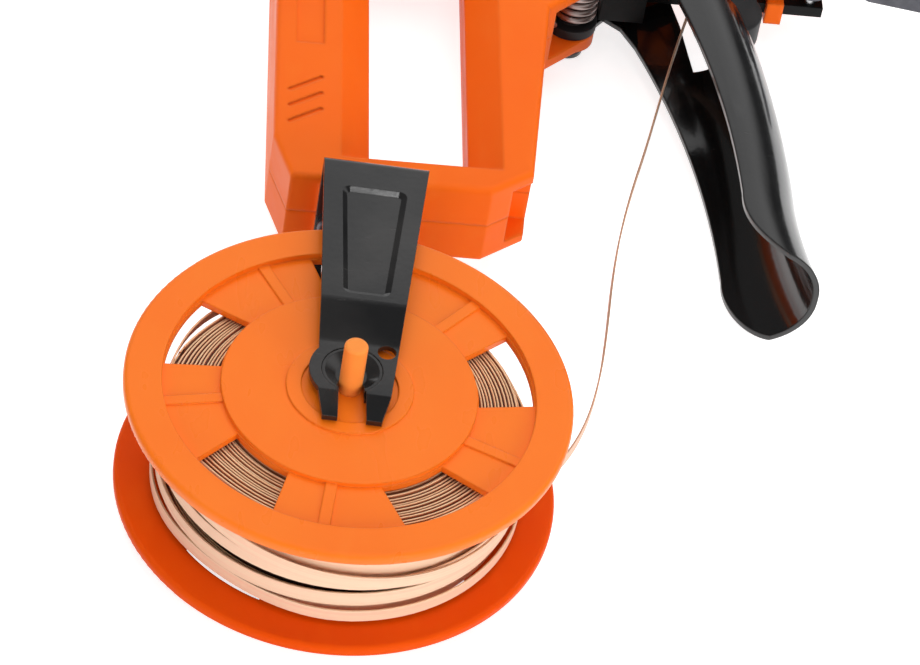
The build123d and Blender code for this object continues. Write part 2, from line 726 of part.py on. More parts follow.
# Ribbon guide: an arm under the nose with a roller
ribbon_guide = box(guide_end_x - 3.0, guide_end_x + 8.0, guide_end_y, guide_pad_y, -jaw_half, jaw_half)
ribbon_guide += rod_z(guide_end_x, guide_end_y, guide_end_r, -jaw_half, jaw_half)
guide_foot = box(guide_x0 - 1.0, guide_x1 - 1.0, guide_pad_y - 3.0, guide_pad_y, -6.0, 6.0)
ribbon_guide = fillet(ribbon_guide.edges().filter_by(GeomType.CIRCLE).filter_by(Plane.XY), 1.0)
ribbon_guide += guide_foot
inlet_x = guide_x0 + 2.6
inlet_half = ribbon_width / 2 + 0.5
ribbon_guide -= box(inlet_x - 1.4, inlet_x + 0.9, guide_pad_y - 4, guide_pad_y + 1, -inlet_half, inlet_half)
slot_r = roller_r + 0.6
slot_half = roller_half + face_gap
ribbon_guide -= rod_z(roller_x, roller_y, slot_r, -slot_half, slot_half)
ribbon_guide -= box(roller_x - 12, roller_x, roller_y - slot_r, roller_y + slot_r, -slot_half, slot_half)
ribbon_guide -= rod_z(roller_x, roller_y, roller_pin_r + bore_gap / 5, -20, 20)
roller_pin = rod_z(roller_x, roller_y, roller_pin_r, -jaw_half - 0.4, jaw_half + 0.4)
guide_roller = rod_z(roller_x, roller_y, roller_r, -roller_half, roller_half)
guide_roller -= rod_z(roller_x, roller_y, roller_pin_r + run_gap, -roller_half - 1, roller_half + 1)

# Battery cell, its contacts and retainer
battery_cell = rod_y(cell_x, 0, cell_r, cell_low_y, cell_top_y - 1.6)
battery_cell += rod_y(cell_x, 0, 2.8, cell_top_y - 2.0, cell_top_y)
contact_low = cell_low_y - contact_thick - face_gap
battery_contacts = [
    rod_y(cell_x, 0, cell_r, contact_low, contact_low + contact_thick),
    rod_y(cell_x, 0, cell_r, cell_top_y + face_gap, cell_top_y + face_gap + contact_thick),
]
retainer_y = cell_top_y + face_gap + contact_thick
cell_retainer = rod_y(cell_x, 0, cell_r, retainer_y, retainer_y + 10.0)
cell_retainer -= rod_y(cell_x, 0, 3.0, retainer_y - 1, retainer_y + 11)

# Control board, its parts, charging socket and trigger switch
board_x0 = rear_x + wall + 0.4
board_face = board_z + board_thick
board_high_y = body_top_y - body_corner - 1.0
control_board = box(board_x0, 9.5, cavity_low_y + 0.4, board_high_y, board_z, board_face)
tact_top = cavity_half - 1.2 - button_travel - 0.3
board_parts = [
    box(button_x - 3, button_x + 3, button_y - 3, button_y + 3, board_face, tact_top),
    box(-12.0, -4.0, 208.0, 216.0, board_face, board_face + 1.4),
    rod_z(4.5, 236.0, 2.6, board_face, board_face + 4.5),
    box(1.0, 7.0, 209.0, 214.0, board_face, board_face + 2.6),
]
socket_low = board_z - socket_height
socket_wall = 0.5
charge_socket = box(
    rear_x + 0.4, rear_x + 8.0, socket_y - socket_half, socket_y + socket_half, socket_low, board_z
)
charge_socket -= box(
    rear_x - 1,
    rear_x + 6.0,
    socket_y - socket_half + socket_wall,
    socket_y + socket_half - socket_wall,
    socket_low + socket_wall,
    board_z - socket_wall,
)
trigger_switch = box(
    switch_bay_x + 0.2, switch_x - 1.0, switch_bay_y + 0.2, switch_rod_y + 3.6, -3.0, 3.0
)
trigger_switch += rod_x(switch_rod_y, 0, 1.0, switch_x - 1.2, switch_x - 0.2)

# Power button, held by its inner flange
power_button = rod_z(button_x, button_y, button_r, cavity_half - 0.2, housing_half + 1.4)
power_button = fillet(power_button.edges().sort_by(Axis.Z)[-1], 0.6)
power_button += rod_z(button_x, button_y, button_r + 1.4, cavity_half - 1.2, cavity_half - 0.1)

# Spool: two alike flanges on a hub, the axle and the wound ribbon
flange_low = spool_half - flange_height
rim_inner_r = spool_r - rim_width
flange = Pos(0, 0, (flange_low + spool_half) / 2) * Cylinder(spool_r, flange_height)
flange = fillet(flange.edges(), 1.3)
band = rod_z(0, 0, rim_inner_r, spool_half - spoke_sink, spool_half + 1)
band -= rod_z(0, 0, hub_disc_r, spool_half - spoke_sink - 1, spool_half + 2)
flange -= band
hub_face = rod_z(0, 0, hub_disc_r + 1, spool_half - hub_sink, spool_half + 1)
hub_face -= rod_z(0, 0, boss_outer_r, 0, spool_half + 2) - rod_z(0, 0, boss_inner_r, 0, spool_half + 2)
flange -= hub_face & rod_z(0, 0, hub_disc_r, 0, 40)
window_pitch = 360.0 / window_count
window = rod_z(0, 0, rim_inner_r - 0.4, 0, 40) - rod_z(0, 0, hub_disc_r + 0.4, -1, 41)


def window_corner(r, side):
    """A corner of the window's cutter, skewed with the distance from the axle."""
    lean = window_skew * (r - hub_disc_r) / (rim_inner_r - hub_disc_r)
    angle = math.radians(lean + side * window_half_angle)
    return (r * math.cos(angle), r * math.sin(angle))


wedge_low = hub_disc_r - 6.0
wedge_high = rim_inner_r + 6.0
wedge_points = [(wedge_low, -1), (wedge_high, -1), (wedge_high, 1), (wedge_low, 1)]
wedge = slab([window_corner(r, side) for r, side in wedge_points], 0, 40)
rib_low = spool_half - spoke_sink - 0.1
rib = box(hub_disc_r - 0.5, rim_inner_r + 0.5, -1.5, 1.5, rib_low, rib_low + 0.6)
for i in range(window_count):
    turn = Rot(0, 0, window_first_angle + i * window_pitch)
    flange -= turn * (window & wedge)
    flange += Rot(0, 0, window_first_angle + (i + 0.5) * window_pitch) * rib
flange -= rod_z(0, 0, axle_r + bore_gap / 2, 0, 40)
spool_flange_near = flange
spool_flange_far = mirror(flange, about=Plane.XY)
spool_hub = rod_z(0, 0, hub_r, -flange_low, flange_low) - rod_z(0, 0, axle_r + bore_gap / 2, -40, 40)
axle_head_z = -bracket_plate_top - 0.3
spool_axle = rod_z(0, 0, axle_r, axle_head_z - axle_head_height, axle_top)
spool_axle += rod_z(0, 0, axle_head_r, axle_head_z - axle_head_height, axle_head_z)
spool_axle = fillet(spool_axle.edges().sort_by(Axis.Z)[-1], 0.8)

# Wound ribbon: tight turns by the near flange and fuller ones below, each a plain core under flat turns
pack_half = flange_low - pack_side_gap


def wound_turns(core_r, low, high, turns, first_z):
    """A ring of packed ribbon between two heights, under one outer layer of flat turns."""
    ring = rod_z(0, 0, core_r, low, high) - rod_z(0, 0, hub_r + face_gap, -30, 30)
    turn_r = core_r + ribbon_thick / 2 - 0.1
    edges, points = helix_edges(turn_r, pack_pitch, turns, first_z, -60.0, 1)
    upright_edges, upright_points = helix_edges(turn_r, pack_pitch, turns, first_z + 10, -60.0, 1)
    path = Wire(edges)
    plane = Plane(origin=path @ 0, x_dir=(0, 0, 1), z_dir=path % 0)
    band = sweep(plane * Rectangle(ribbon_width, ribbon_thick), path=path, binormal=Wire(upright_edges))
    print("ribbon turns least self gap", round(least_self_gap(edges, ribbon_width, turn_r * 3), 2))
    return ring + band


first_turn_z = -pack_half + ribbon_width / 2 + 0.2
near_turn_z = pack_half - ribbon_width / 2 - 0.2 - pack_near_turns * pack_pitch
ribbon_pack = wound_turns(pack_r, -pack_half, pack_step_z, pack_turns, first_turn_z)
ribbon_pack += wound_turns(pack_near_r, pack_step_z, pack_half, pack_near_turns, near_turn_z)

# Free ribbon from the wound pack to the inlet under the nose
leave_r = pack_r + ribbon_thick + 0.8
roller_side = math.radians(16.6)
roller_reach = roller_r + face_gap + ribbon_thick / 2
leave = (leave_r * math.cos(math.radians(ribbon_leave)), leave_r * math.sin(math.radians(ribbon_leave)))
ribbon_points = [
    leave,
    (56.3, -4.8),
    (63.6, 9.8),
    (68.1, 28.0),
    (70.6, 46.0),
    (72.6, 64.0),
    (75.4, 82.0),
    (79.4, 100.0),
    (84.4, 118.5),
    (89.3, 139.0),
    (94.2, 158.5),
    (roller_x - roller_reach * math.cos(roller_side), roller_y + roller_reach * math.sin(roller_side)),
    (inlet_x, guide_pad_y - 1.3),
]
ribbon_radii = []
for a, b, c in zip(ribbon_points, ribbon_points[1:], ribbon_points[2:]):
    turn = (Vector(*b) - Vector(*a)).get_angle(Vector(*c) - Vector(*b))
    shorter = min(math.dist(a, b), math.dist(b, c))
    ribbon_radii.append(0.45 * shorter / math.tan(math.radians(turn / 2)))
print("ribbon radii", [round(r) for r in ribbon_radii])
ribbon_path = FilletPolyline(*ribbon_points, radius=ribbon_radii)
ribbon_plane = Plane(origin=ribbon_path @ 0, x_dir=(0, 0, 1), z_dir=ribbon_path % 0)
ribbon_run = sweep(ribbon_plane * Rectangle(ribbon_width, ribbon_thick), path=ribbon_path)
section_volume = ribbon_path.length * ribbon_width * ribbon_thick
print("ribbon run length", round(ribbon_path.length, 1))
print("ribbon run volume over section times length", round(ribbon_run.volume / section_volume, 4))

# Spool bracket: side profile of the sheet cut by its plan outline
plate_low = bracket_plate_top - bracket_sheet
tip_y = -13.0
tip_bend_y = -4.8
step_low_y = 13.5
step_high_y = 25.0
tip_drop = 1.0
side_line = [
    (tip_y, bracket_plate_top - tip_drop),
    (tip_bend_y, bracket_plate_top),
    (step_low_y, bracket_plate_top),
    (step_high_y, bracket_outer),
    (bracket_web_y, bracket_outer),
    (bracket_web_y, 0.0),
    (bracket_web_y - bracket_sheet, 0.0),
    (bracket_web_y - bracket_sheet, bracket_outer - bracket_sheet),
    (step_high_y, bracket_outer - bracket_sheet),
    (step_low_y, plate_low),
    (tip_bend_y, plate_low),
    (tip_y, plate_low - tip_drop),
]
side_face = make_face(Polyline(*[(0, y, z) for y, z in side_line], close=True))
half_bracket = extrude(side_face, 30, both=True, dir=(1, 0, 0))


def bent(sheet, y, z, radius):
    """The sheet with its bend line nearest to a place rounded."""
    lines = sheet.edges().filter_by(Axis.X)
    line = lines.sort_by(lambda e: math.dist((e.center().Y, e.center().Z), (y, z)))[0]
    return fillet(line, radius)


half_bracket = bent(half_bracket, bracket_web_y, bracket_outer, 2.4)
half_bracket = bent(half_bracket, bracket_web_y - bracket_sheet, bracket_outer - bracket_sheet, 0.8)
half_bracket = bent(half_bracket, step_high_y, bracket_outer, bracket_bend_r)
half_bracket = bent(half_bracket, step_high_y, bracket_outer - bracket_sheet, bracket_bend_r - bracket_sheet)
half_bracket = bent(half_bracket, step_low_y, bracket_plate_top, bracket_bend_r - bracket_sheet)
half_bracket = bent(half_bracket, step_low_y, plate_low, bracket_bend_r)
half_bracket = bent(half_bracket, tip_bend_y, bracket_plate_top, 4.0)
half_bracket = bent(half_bracket, tip_bend_y, plate_low, 2.4)


def bracket_half_width(y):
    """Half the leg's width at a distance from the axle."""
    return bracket_half_at_axle + bracket_taper * y


plan = make_face(
    Polyline(
        (bracket_shift + 7.6, tip_y),
        (bracket_shift + bracket_half_width(tip_bend_y), tip_bend_y),
        (bracket_shift + bracket_half_width(bracket_web_y), bracket_web_y),
        (bracket_shift - bracket_half_width(bracket_web_y), bracket_web_y),
        (bracket_shift - bracket_half_width(tip_bend_y), tip_bend_y),
        (bracket_shift - 7.6, tip_y),
        close=True,
    )
)
plan_solid = extrude(plan, 60)
ear = rod_z(0, keyhole_y, ear_r, 0, 60) & box(-30, 0, -30, 30, 0, 60)
plan_solid += ear
plan_solid -= rod_z(0, keyhole_y, keyhole_r, -1, 61)
slot_points = [
    (-keyhole_slot_half, keyhole_y),
    (keyhole_slot_half, keyhole_y),
    (bracket_shift + keyhole_slot_half + 0.4, tip_y - 1),
    (bracket_shift - keyhole_slot_half - 0.3, tip_y - 1),
]
plan_solid -= slab(slot_points, -1, 61)
plan_solid -= rod_z(8.4, 10.6, 2.4, -1, 61)
half_bracket = half_bracket & plan_solid
emboss_depth = 0.9
emboss_slope = 58.0
emboss_points = [(-4.4, 28.4), (7.8, 28.4), (10.1, 68.1), (-7.4, 68.1)]
emboss_face = make_face(Polyline(*emboss_points, close=True))
emboss_face = fillet(emboss_face.vertices(), 2.2)
emboss = extrude(Pos(0, 0, bracket_outer) * emboss_face, emboss_depth, dir=(0, 0, -1), taper=emboss_slope)
emboss_back = Pos(0, 0, -bracket_sheet) * emboss
half_bracket = half_bracket + emboss_back - emboss
spool_bracket = half_bracket + mirror(half_bracket, about=Plane.XY)
for x in bracket_screw_xs:
    spool_bracket -= rod_y(x, 0, bracket_screw_r + bore_gap, bracket_web_y - 10, bracket_web_y + 10)
spool_bracket = carrier * spool_bracket


def bracket_screw(x):
    """A pan-head screw through the bracket's web into the nut plate."""
    seat_y = bracket_web_y - bracket_sheet
    screw = rod_y(x, 0, bracket_screw_r, seat_y, screw_reach)
    head = rod_y(x, 0, bracket_screw_r + 1.8, seat_y - 2.4, seat_y)
    head = fillet(head.edges().sort_by(Axis.Y)[0], 1.0)
    return carrier * (screw + head - box(x - 2.2, x + 2.2, seat_y - 4, seat_y - 1.4, -0.5, 0.5))


bracket_screws = [bracket_screw(x) for x in bracket_screw_xs]
nut_plate = box(-nut_half[0], nut_half[0], nut_y, nut_y + nut_thick, -nut_half[1], nut_half[1])
for x in bracket_screw_xs:
    nut_plate -= rod_y(x, 0, bracket_screw_r + bore_gap / 2, nut_y - 1, nut_y + nut_thick + 1)
nut_plate = carrier * nut_plate

# Bushes that carry the axle in the bracket's keyholes, dished outside and open at the front like the slot
bush_low = spool_half + face_gap
bush_r = keyhole_r - bore_gap
axle_bush = rod_z(0, keyhole_y, bush_r, plate_low - bore_gap, bracket_plate_top - 0.2)
axle_bush += rod_z(0, keyhole_y, bush_r + 1.6, bush_low, plate_low - bore_gap)
dish = Cone(bush_r - 0.8, 4.0, 2.0, align=(Align.CENTER, Align.CENTER, Align.MIN))
axle_bush -= Pos(0, keyhole_y, bracket_plate_top - 0.2) * Rot(180, 0, 0) * dish
axle_bush -= rod_z(0, 0, axle_r + run_gap, 0, 60)
bush_slot = axle_r + run_gap
axle_bush -= slab([(-bush_slot, 0), (bush_slot, 0), *slot_points[2:]], 0, 60)
axle_bush_near = carrier * axle_bush
axle_bush_far = carrier * mirror(axle_bush, about=Plane.XY)

nodes = {
    "housing_near": housing_near,
    "housing_far": housing_far,
    "housing_screws": housing_screws,
    "lever_pivot_pin": lever_pivot_pin,
    "pivot_ring": pivot_ring,
    "pivot_washers": pivot_washers,
    "spring_sleeve": spring_sleeve,
    "torsion_spring": torsion_spring,
    "lever": lever,
    "drive_pin": drive_pin,
    "spring_peg": spring_peg,
    "push_frame": push_frame,
    "push_pin": push_pin,
    "lower_jaw": lower_jaw,
    "jaw_pivot_pin": jaw_pivot_pin,
    "upper_jaw": upper_jaw,
    "cutter_blade": cutter_blade,
    "drive_motor": drive_motor,
    "gearbox": gearbox,
    "output_shaft": output_shaft,
    "drive_coupling": drive_coupling,
    "twister_shaft": twister_shaft,
    "twister_hook": twister_hook,
    "rear_bearing": rear_bearing,
    "front_bearing": front_bearing,
    "ribbon_guide": ribbon_guide,
    "roller_pin": roller_pin,
    "guide_roller": guide_roller,
    "battery_cell": battery_cell,
    "battery_contacts": battery_contacts,
    "cell_retainer": cell_retainer,
    "control_board": control_board,
    "board_parts": board_parts,
    "charge_socket": charge_socket,
    "trigger_switch": trigger_switch,
    "power_button": power_button,
    "spool_hub": spool_hub,
    "spool_flange_near": spool_flange_near,
    "spool_flange_far": spool_flange_far,
    "spool_axle": spool_axle,
    "ribbon_pack": ribbon_pack,
    "ribbon_run": ribbon_run,
    "spool_bracket": spool_bracket,
    "bracket_screws": bracket_screws,
    "nut_plate": nut_plate,
    "axle_bush_near": axle_bush_near,
    "axle_bush_far": axle_bush_far,
}

# The origin goes under the middle of the whole tool's box
placed = {}
for name, shape in nodes.items():
    pieces = shape if isinstance(shape, list) else [shape]
    placed[name] = [solid for piece in pieces for solid in piece.solids()]
whole = Compound(children=[Compound(children=list(solids)) for solids in placed.values()])
bounds = whole.bounding_box()
shift = Vector(-bounds.center().X, -bounds.center().Y, -bounds.min.Z)
print("shift", [round(v, 4) for v in shift])
print("size", bounds.size)

os.makedirs("parts", exist_ok=True)
for name, solids in placed.items():
    group = Compound(children=[solid.moved(Location(shift)) for solid in solids])
    export_step(group, f"parts/{name}.step")
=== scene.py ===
"""Looks of a vine tying tool: a grip, a squeeze lever and a ribbon spool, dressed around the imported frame."""

import logging
import math
import random
from dataclasses import dataclass
from enum import Enum
from typing import Sequence

import bmesh
import bpy
from mathutils import Matrix, Vector


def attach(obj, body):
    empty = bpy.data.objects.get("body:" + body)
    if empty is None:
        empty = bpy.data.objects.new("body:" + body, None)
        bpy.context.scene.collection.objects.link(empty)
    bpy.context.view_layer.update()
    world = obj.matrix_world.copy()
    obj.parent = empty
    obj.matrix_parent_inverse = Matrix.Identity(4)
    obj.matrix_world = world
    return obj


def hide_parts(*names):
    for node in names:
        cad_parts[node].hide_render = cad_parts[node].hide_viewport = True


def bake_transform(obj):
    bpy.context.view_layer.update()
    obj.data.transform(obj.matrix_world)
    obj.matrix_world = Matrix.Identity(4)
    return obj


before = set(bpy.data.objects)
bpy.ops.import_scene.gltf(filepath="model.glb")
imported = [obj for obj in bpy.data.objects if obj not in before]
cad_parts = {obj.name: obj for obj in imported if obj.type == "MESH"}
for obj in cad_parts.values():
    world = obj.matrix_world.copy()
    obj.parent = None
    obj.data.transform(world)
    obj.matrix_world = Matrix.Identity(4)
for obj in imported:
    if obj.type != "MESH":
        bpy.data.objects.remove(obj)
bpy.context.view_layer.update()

log = logging.getLogger("vine_tying_tool")

MM = 0.001
PICTURE_WIDTH = 920
SENSOR_MM = 36.0
ORIGIN_MM = (68.9418, 99.25, -25.0)
SHARP_DEGREES = 38.0

Colour = tuple[float, float, float]
Spot = tuple[float, float, float]
Inputs = dict[str | int, object]

WHITE: Colour = (1.0, 1.0, 1.0)


def drawn(x: float, y: float, z: float = 0.0) -> Vector:
    """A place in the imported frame, in metres, from drawn millimetres off the middle of the spool's axle."""
    return Vector((x - ORIGIN_MM[0], y - ORIGIN_MM[1], z - ORIGIN_MM[2])) * MM


def round_axle(r: float, angle: float, z: float) -> Vector:
    """A place round the spool's axle, from its radius, its angle in radians and its height."""
    return drawn(r * math.cos(angle), r * math.sin(angle), z)


def hump(away: float, reach: float) -> float:
    """A smooth hump that is 1 in the middle and falls to 0 at its reach, both in degrees."""
    return math.cos(math.radians(90.0 * min(1.0, away / reach))) ** 2


def placed(name: str, data: bpy.types.ID) -> bpy.types.Object:
    """Puts new data into the scene.

    Args:
        name: the object's name.
        data: the mesh, curve, lamp or lens.

    Returns:
        The new object, at the origin.
    """
    made = bpy.data.objects.new(name, data)
    bpy.context.scene.collection.objects.link(made)
    return made


class Body(str, Enum):
    """The tool's bodies that the new pieces move with."""

    FRAME = "frame"
    LEVER = "lever"
    SPOOL = "spool"


class Grain(Enum):
    """The direction that a metal was drawn, turned or rolled in."""

    X = (0.04, 1.0, 1.0)
    Y = (1.0, 0.04, 1.0)
    Z = (1.0, 1.0, 0.04)


class Section(Enum):
    """The cross-section that is swept along a path."""

    FLAT = "flat"
    ROUND = "round"


class Sketch:
    """A node tree that is filled in by short calls."""

    def __init__(self, tree: bpy.types.NodeTree) -> None:
        """Starts with an empty tree."""
        self.tree = tree
        tree.nodes.clear()

    def node(self, kind: str, inputs: Inputs | None = None, **settings: object) -> bpy.types.Node:
        """Adds a node.

        Args:
            kind: the node's type name.
            inputs: values or output sockets, by the input's name or number.
            settings: the node's own properties.

        Returns:
            The new node.
        """
        made = self.tree.nodes.new(kind)
        for name, value in settings.items():
            setattr(made, name, value)
        self.fill(made, inputs or {})
        return made

    def fill(self, node: bpy.types.Node, inputs: Inputs) -> None:
        """Fills a node's inputs with values or output sockets, by the input's name or number."""
        for name, value in inputs.items():
            self.feed(node.inputs[name], value)

    def feed(self, socket: bpy.types.NodeSocket, value: object) -> None:
        """Links an output to a socket, or sets the socket's own value.

        Args:
            socket: the input to fill.
            value: an output socket, a number, a colour or a vector.
        """
        if isinstance(value, bpy.types.NodeSocket):
            self.tree.links.new(value, socket)
        elif isinstance(value, tuple) and len(value) == 3 and socket.type == "RGBA":
            socket.default_value = (*value, 1.0)
        else:
            socket.default_value = value

    def maths(self, operation: str, first: object, second: object = 0.0) -> bpy.types.NodeSocket:
        """Works out two values or sockets together, by the operation's name, such as MULTIPLY."""
        made = self.node("ShaderNodeMath", {0: first, 1: second}, operation=operation)
        return made.outputs[0]

    def span(
        self,
        value: bpy.types.NodeSocket,
        low: float,
        high: float,
        to_low: float = 0.0,
        to_high: float = 1.0,
    ) -> bpy.types.NodeSocket:
        """Maps one range of values to another.

        Args:
            value: the value's socket.
            low: the value at one end of the range.
            high: the value at its other end.
            to_low: the result at low and beyond.
            to_high: the result at high and beyond.

        Returns:
            The mapped value's socket.
        """
        made = self.node(
            "ShaderNodeMapRange",
            {"Value": value, "From Min": low, "From Max": high, "To Min": to_low, "To Max": to_high},
        )
        return made.outputs["Result"]


class ShaderSketch(Sketch):
    """A material's node tree, with the patterns that the finishes share.

    Attributes:
        BREAK_UP: how strongly the finer layers of a noise show.
        FEELERS: rays that feel for an edge that is near.
        FLAT: how well the rounded normal agrees with the face's own where there is no edge.
        SHARP: how well they agree on a sharp edge.
    """

    BREAK_UP = 0.55
    FEELERS = 6
    FLAT = 0.98
    SHARP = 0.8

    def places(self, scale: Spot = (1.0, 1.0, 1.0)) -> bpy.types.NodeSocket:
        """The piece's own coordinates, stretched.

        Args:
            scale: how much each axis is stretched.

        Returns:
            The coordinates' socket.
        """
        where = self.node("ShaderNodeTexCoord")
        mapped = self.node("ShaderNodeMapping", {"Vector": where.outputs["Object"], "Scale": scale})
        return mapped.outputs["Vector"]

    def noise(
        self,
        scale: float,
        detail: float = 2.0,
        stretch: Spot = (1.0, 1.0, 1.0),
        vector: bpy.types.NodeSocket | None = None,
    ) -> bpy.types.NodeSocket:
        """Soft noise over the piece.

        Args:
            scale: how many features there are in a metre.
            detail: how many finer layers are added.
            stretch: how much each axis is stretched.
            vector: coordinates to use instead of the piece's own.

        Returns:
            The noise's value from 0 to 1.
        """
        made = self.node(
            "ShaderNodeTexNoise",
            {
                "Vector": vector or self.places(stretch),
                "Scale": scale,
                "Detail": detail,
                "Roughness": self.BREAK_UP,
            },
        )
        return made.outputs["Fac"]

    def mix(self, share: object, first: object, second: object) -> bpy.types.NodeSocket:
        """Mixes two colours or sockets, by the share of the second one."""
        made = self.node("ShaderNodeMix", {0: share, 6: first, 7: second}, data_type="RGBA")
        return made.outputs[2]

    def rounded(self, radius_mm: float) -> bpy.types.NodeSocket:
        """The surface's normal with its sharp edges rounded over."""
        made = self.node("ShaderNodeBevel", {"Radius": radius_mm * MM}, samples=self.FEELERS)
        return made.outputs["Normal"]

    def edges(self, soft_normal: bpy.types.NodeSocket) -> bpy.types.NodeSocket:
        """Where the surface turns sharply.

        Args:
            soft_normal: the rounded normal.

        Returns:
            A value from 0 on flat faces to 1 on sharp edges.
        """
        surface = self.node("ShaderNodeNewGeometry")
        turn = self.node(
            "ShaderNodeVectorMath", {0: soft_normal, 1: surface.outputs["Normal"]}, operation="DOT_PRODUCT"
        )
        return self.span(turn.outputs["Value"], self.FLAT, self.SHARP)

    def bump(
        self, height: bpy.types.NodeSocket, depth_mm: float, normal: bpy.types.NodeSocket | None = None
    ) -> bpy.types.NodeSocket:
        """Relief on the surface.

        Args:
            height: the relief's pattern.
            depth_mm: the relief's depth in millimetres.
            normal: the normal that the relief stands on.

        Returns:
            The bumped normal's socket.
        """
        inputs = {"Height": height, "Distance": depth_mm * MM, "Strength": 1.0}
        if normal is not None:
            inputs["Normal"] = normal
        return self.node("ShaderNodeBump", inputs).outputs["Normal"]


@dataclass(frozen=True)
class Finish:
    """A surface finish.

    Attributes:
        name: the material's name.
    """

    name: str

    def shade(self, sketch: ShaderSketch, surface: bpy.types.Node) -> None:
        """Fills in the surface shader, in each finish's own way."""
        raise NotImplementedError

    def material(self) -> bpy.types.Material:
        """The finish as a material, made the first time that it is asked for.

        Returns:
            The material.
        """
        found = bpy.data.materials.get(self.name)
        if found is not None:
            return found
        made = bpy.data.materials.new(self.name)
        made.use_nodes = True
        sketch = ShaderSketch(made.node_tree)
        surface = sketch.node("ShaderNodeBsdfPrincipled")
        sketch.node("ShaderNodeOutputMaterial", {"Surface": surface.outputs["BSDF"]})
        self.shade(sketch, surface)
        return made


@dataclass(frozen=True)
class MouldedPlastic(Finish):
    """Moulded plastic with a fine skin, clouded colour and worn edges.

    Attributes:
        colour: the main colour.
        deep: the colour where the plastic is thicker.
        worn: the colour along edges.
        roughness: the middle roughness.
        skin: features of the moulded skin in a metre.
        skin_mm: depth of the moulded skin.
        round_mm: how far the sharp edges are rounded over.
        gloss: the shader's specular level.
        clouds: features of the clouded colour in a metre.
        flow: features of the moulding's flow marks in a metre.
        flow_stretch: how much the flow marks are stretched along each axis.
        flow_wear: how much the flow marks take the worn colour.
        edge_wear: how much the edges take it.
    """

    colour: Colour
    deep: Colour
    worn: Colour
    roughness: float
    skin: float = 1400.0
    skin_mm: float = 0.02
    round_mm: float = 0.5
    gloss: float = 0.16
    clouds: float = 22.0
    flow: float = 140.0
    flow_stretch: Spot = (1.0, 0.35, 1.0)
    flow_wear: float = 0.25
    edge_wear: float = 0.3

    def shade(self, sketch: ShaderSketch, surface: bpy.types.Node) -> None:
        """Fills in the surface shader.

        Args:
            sketch: the material's node tree.
            surface: the shader to fill in.
        """
        soft = sketch.rounded(self.round_mm)
        cloud = sketch.noise(self.clouds, 3.0)
        flow = sketch.noise(self.flow, 2.0, self.flow_stretch)
        tone = sketch.mix(sketch.span(cloud, 0.3, 0.7), self.deep, self.colour)
        tone = sketch.mix(sketch.span(flow, 0.55, 0.8, 0.0, self.flow_wear), tone, self.worn)
        tone = sketch.mix(sketch.maths("MULTIPLY", sketch.edges(soft), self.edge_wear), tone, self.worn)
        skin = sketch.noise(self.skin, 2.0)
        rough = sketch.span(flow, 0.3, 0.7, self.roughness - 0.05, self.roughness + 0.06)
        normal = sketch.bump(skin, self.skin_mm, soft)
        sketch.fill(surface, {"Base Color": tone, "Roughness": rough, "Normal": normal})
        surface.inputs["Specular IOR Level"].default_value = self.gloss


@dataclass(frozen=True)
class CoatedSheet(Finish):
    """Pressed sheet steel under a black gloss coat, thin along its cut edges.

    Attributes:
        coat: colour of the coat.
        bare: colour where the coat is thin.
        roughness: the middle roughness.
        round_mm: how far the cut edges are rounded over.
        edge_gloss: the specular level along the cut edges.
        face_gloss: the specular level of the faces.
        clear: weight of the clear coat on the faces.
        clear_roughness: roughness of the clear coat.
        chips: features of the worn edges in a metre.
        haze: features of the uneven gloss in a metre.
        peel: features of the coat's orange peel in a metre.
        peel_mm: depth of the orange peel.
        scuffs: features of the scuff marks in a metre.
        scuff_stretch: how much the scuff marks are stretched along each axis.
        clouds: features of the clouded colour in a metre.
    """

    coat: Colour
    bare: Colour
    roughness: float
    round_mm: float = 0.3
    edge_gloss: float = 0.35
    face_gloss: float = 0.5
    clear: float = 0.25
    clear_roughness: float = 0.06
    chips: float = 900.0
    haze: float = 60.0
    peel: float = 650.0
    peel_mm: float = 0.02
    scuffs: float = 160.0
    scuff_stretch: Spot = (1.0, 6.0, 1.0)
    clouds: float = 34.0

    def shade(self, sketch: ShaderSketch, surface: bpy.types.Node) -> None:
        """Fills in the surface shader.

        Args:
            sketch: the material's node tree.
            surface: the shader to fill in.
        """
        soft = sketch.rounded(self.round_mm)
        edge = sketch.edges(soft)
        chips = sketch.noise(self.chips, 4.0)
        worn = sketch.maths("MULTIPLY", edge, sketch.span(chips, 0.42, 0.66, 0.05, 0.7))
        haze = sketch.noise(self.haze, 3.0)
        peel = sketch.noise(self.peel, 1.0)
        scuffs = sketch.noise(self.scuffs, 5.0, self.scuff_stretch)
        rough = sketch.span(haze, 0.3, 0.75, self.roughness - 0.06, self.roughness + 0.09)
        marks = sketch.span(scuffs, 0.66, 0.74, 0.0, 0.12)
        clouds = sketch.noise(self.clouds, 4.0)
        tone = sketch.mix(sketch.span(clouds, 0.4, 0.65, 0.0, 0.09), self.coat, self.bare)
        tone = sketch.mix(worn, tone, self.bare)
        tone = sketch.mix(marks, tone, self.bare)
        sketch.fill(
            surface,
            {
                "Base Color": tone,
                "Roughness": sketch.maths("ADD", rough, marks),
                "Normal": sketch.bump(peel, self.peel_mm, soft),
                "Specular IOR Level": sketch.span(edge, 0.0, 1.0, self.face_gloss, self.edge_gloss),
                "Coat Weight": sketch.span(edge, 0.0, 1.0, self.clear, self.edge_gloss / 2),
            },
        )
        surface.inputs["Coat Roughness"].default_value = self.clear_roughness


